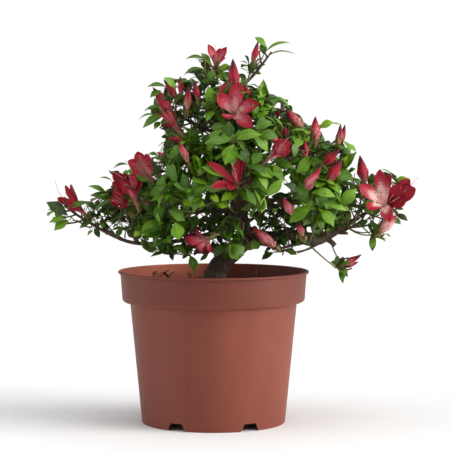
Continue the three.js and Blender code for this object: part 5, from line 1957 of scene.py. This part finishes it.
def make_bits():
    """Bits of bark strewn over the soil, and pale grains among them."""
    crumbs = Heap("soil_bits", [
        finish("bark_bits", [(64, 42, 28), (96, 64, 42)], 300, 0.95, 0.8, 900),
        finish("dark_bits", [(34, 24, 18), (52, 38, 28)], 300, 0.95, 0.8, 900),
        finish("pale_grains", [(170, 142, 108), (206, 184, 150)], 300, 0.9, 0.5, 900),
        finish("dry_bits", [(104, 62, 38), (206, 150, 104)], 500, 0.9, 0.5, 900),
    ])
    chip = ball_form(6, 4)
    draw = stream(SOIL_BITS_SEED)
    places = [(math.sqrt(draw()) * SOIL_BITS_RADIUS, draw() * TURN) for _ in range(SOIL_BITS)]
    bits = [(r * math.cos(a), r * math.sin(a), int(draw() * 2)) for r, a in places]
    bits += [(x, y, 2) for x, y in PALE_GRAINS]
    for x, y, kind in bits:
        turn = draw() * TURN
        heading = Vector((math.cos(turn), math.sin(turn), 0.3 * (draw() - 0.5))).normalized()
        side, face = square(heading)
        length = mix(*BIT_LENGTH, draw() ** 2) if kind < 2 else mix(*GRAIN_LENGTH, draw())
        drop = SOIL_EDGE_DROP * smooth(SOIL_LEVEL_RADIUS, SOIL_EDGE_RADIUS, math.hypot(x, y))
        middle = Vector((x, y, SOIL_LEVEL - drop + 0.6 + draw() * 1.2))
        points = placed(chip, middle, side * length * 0.5, face * length * 0.32, heading * length)
        crumbs.add(chip, points, kind)
    for across, down, depth, wide, kind in TALL_BITS:
        top = seen(across, down, depth)
        tall = (top.z - SOIL_LEVEL + 4) / 2
        lean = Vector((2.4 * (draw() - 0.5), 0, 1)).normalized()
        side, face = square(lean)
        points = placed(chip, top - lean * tall, side * wide * 0.5, face * wide * 0.35, lean * tall)
        crumbs.add(chip, points, kind)
    return crumbs.piece()


SOIL_COLOURS = [(38, 27, 20), (62, 45, 33), (84, 62, 46)]
SOIL = finish("soil_ground", SOIL_COLOURS, 220, 0.95, 1, 500, detail=8)
on_the_part(finished(make_soil(), SOIL), "soil", "soil")
on_the_part(make_bits(), "soil")


# Studio

FLOOR_PAINT = plain("floor_paint", Base_Color=(0.88, 0.88, 0.88, 1), Roughness=0.9)
BACKDROP_WHITE = plain(
    "backdrop_white", Base_Color=(0, 0, 0, 1), Emission_Color=(1, 1, 1, 1), Emission_Strength=0.98,
)
FLOOR_REACH = 12  # in metres, as the backdrop's radius
BACKDROP_RADIUS = 11
WORLD_STRENGTH = 0.45


def make_floor():
    bm = bmesh.new()
    bmesh.ops.create_grid(bm, x_segments=1, y_segments=1, size=FLOOR_REACH)
    floor = finished(piece_from(bm, "studio_floor"), FLOOR_PAINT)


def make_backdrop():
    """A plain white dome that only the camera sees, so the light comes from the world and the lamps."""
    bm = bmesh.new()
    bmesh.ops.create_uvsphere(bm, u_segments=48, v_segments=24, radius=BACKDROP_RADIUS)
    dome = finished(piece_from(bm, "studio_backdrop"), BACKDROP_WHITE)
    dome.visible_diffuse = False
    dome.visible_glossy = False
    dome.visible_transmission = False
    dome.visible_shadow = False


def lamp(name, towards, strength, softness, colour=(1, 1, 1)):
    """A soft light that comes from a direction."""
    light = bpy.data.lights.new(name, "SUN")
    light.energy = strength
    light.angle = math.radians(softness)
    light.color = colour
    new_object(name, light).rotation_euler = Vector(towards).to_track_quat("Z", "Y").to_euler()


def make_studio():
    make_floor()
    make_backdrop()
    lamp("key_lamp", (1, -0.32, 0.33), 3.6, 45, (1, 0.98, 0.95))
    lamp("top_lamp", (0.25, -0.1, 1), 1.1, 60)
    lamp("fill_lamp", (-1, -0.3, 0.22), 1.2, 60, (0.97, 0.98, 1))
    world = bpy.data.worlds.new("studio")
    world.use_nodes = True
    sky = world.node_tree.nodes["Background"].inputs
    sky["Color"].default_value = (1, 1, 1, 1)
    sky["Strength"].default_value = WORLD_STRENGTH
    bpy.context.scene.world = world
    camera = new_object("camera", bpy.data.cameras.new("camera"))
    camera.data.lens = SENSOR * FOCUS / PICTURE
    camera.data.sensor_width = SENSOR
    camera.location = CAMERA * MM
    camera.rotation_euler = (math.radians(90 - CAMERA_PITCH), 0, 0)
    bpy.context.scene.camera = camera
    bpy.context.scene.view_settings.view_transform = "Standard"


make_studio()
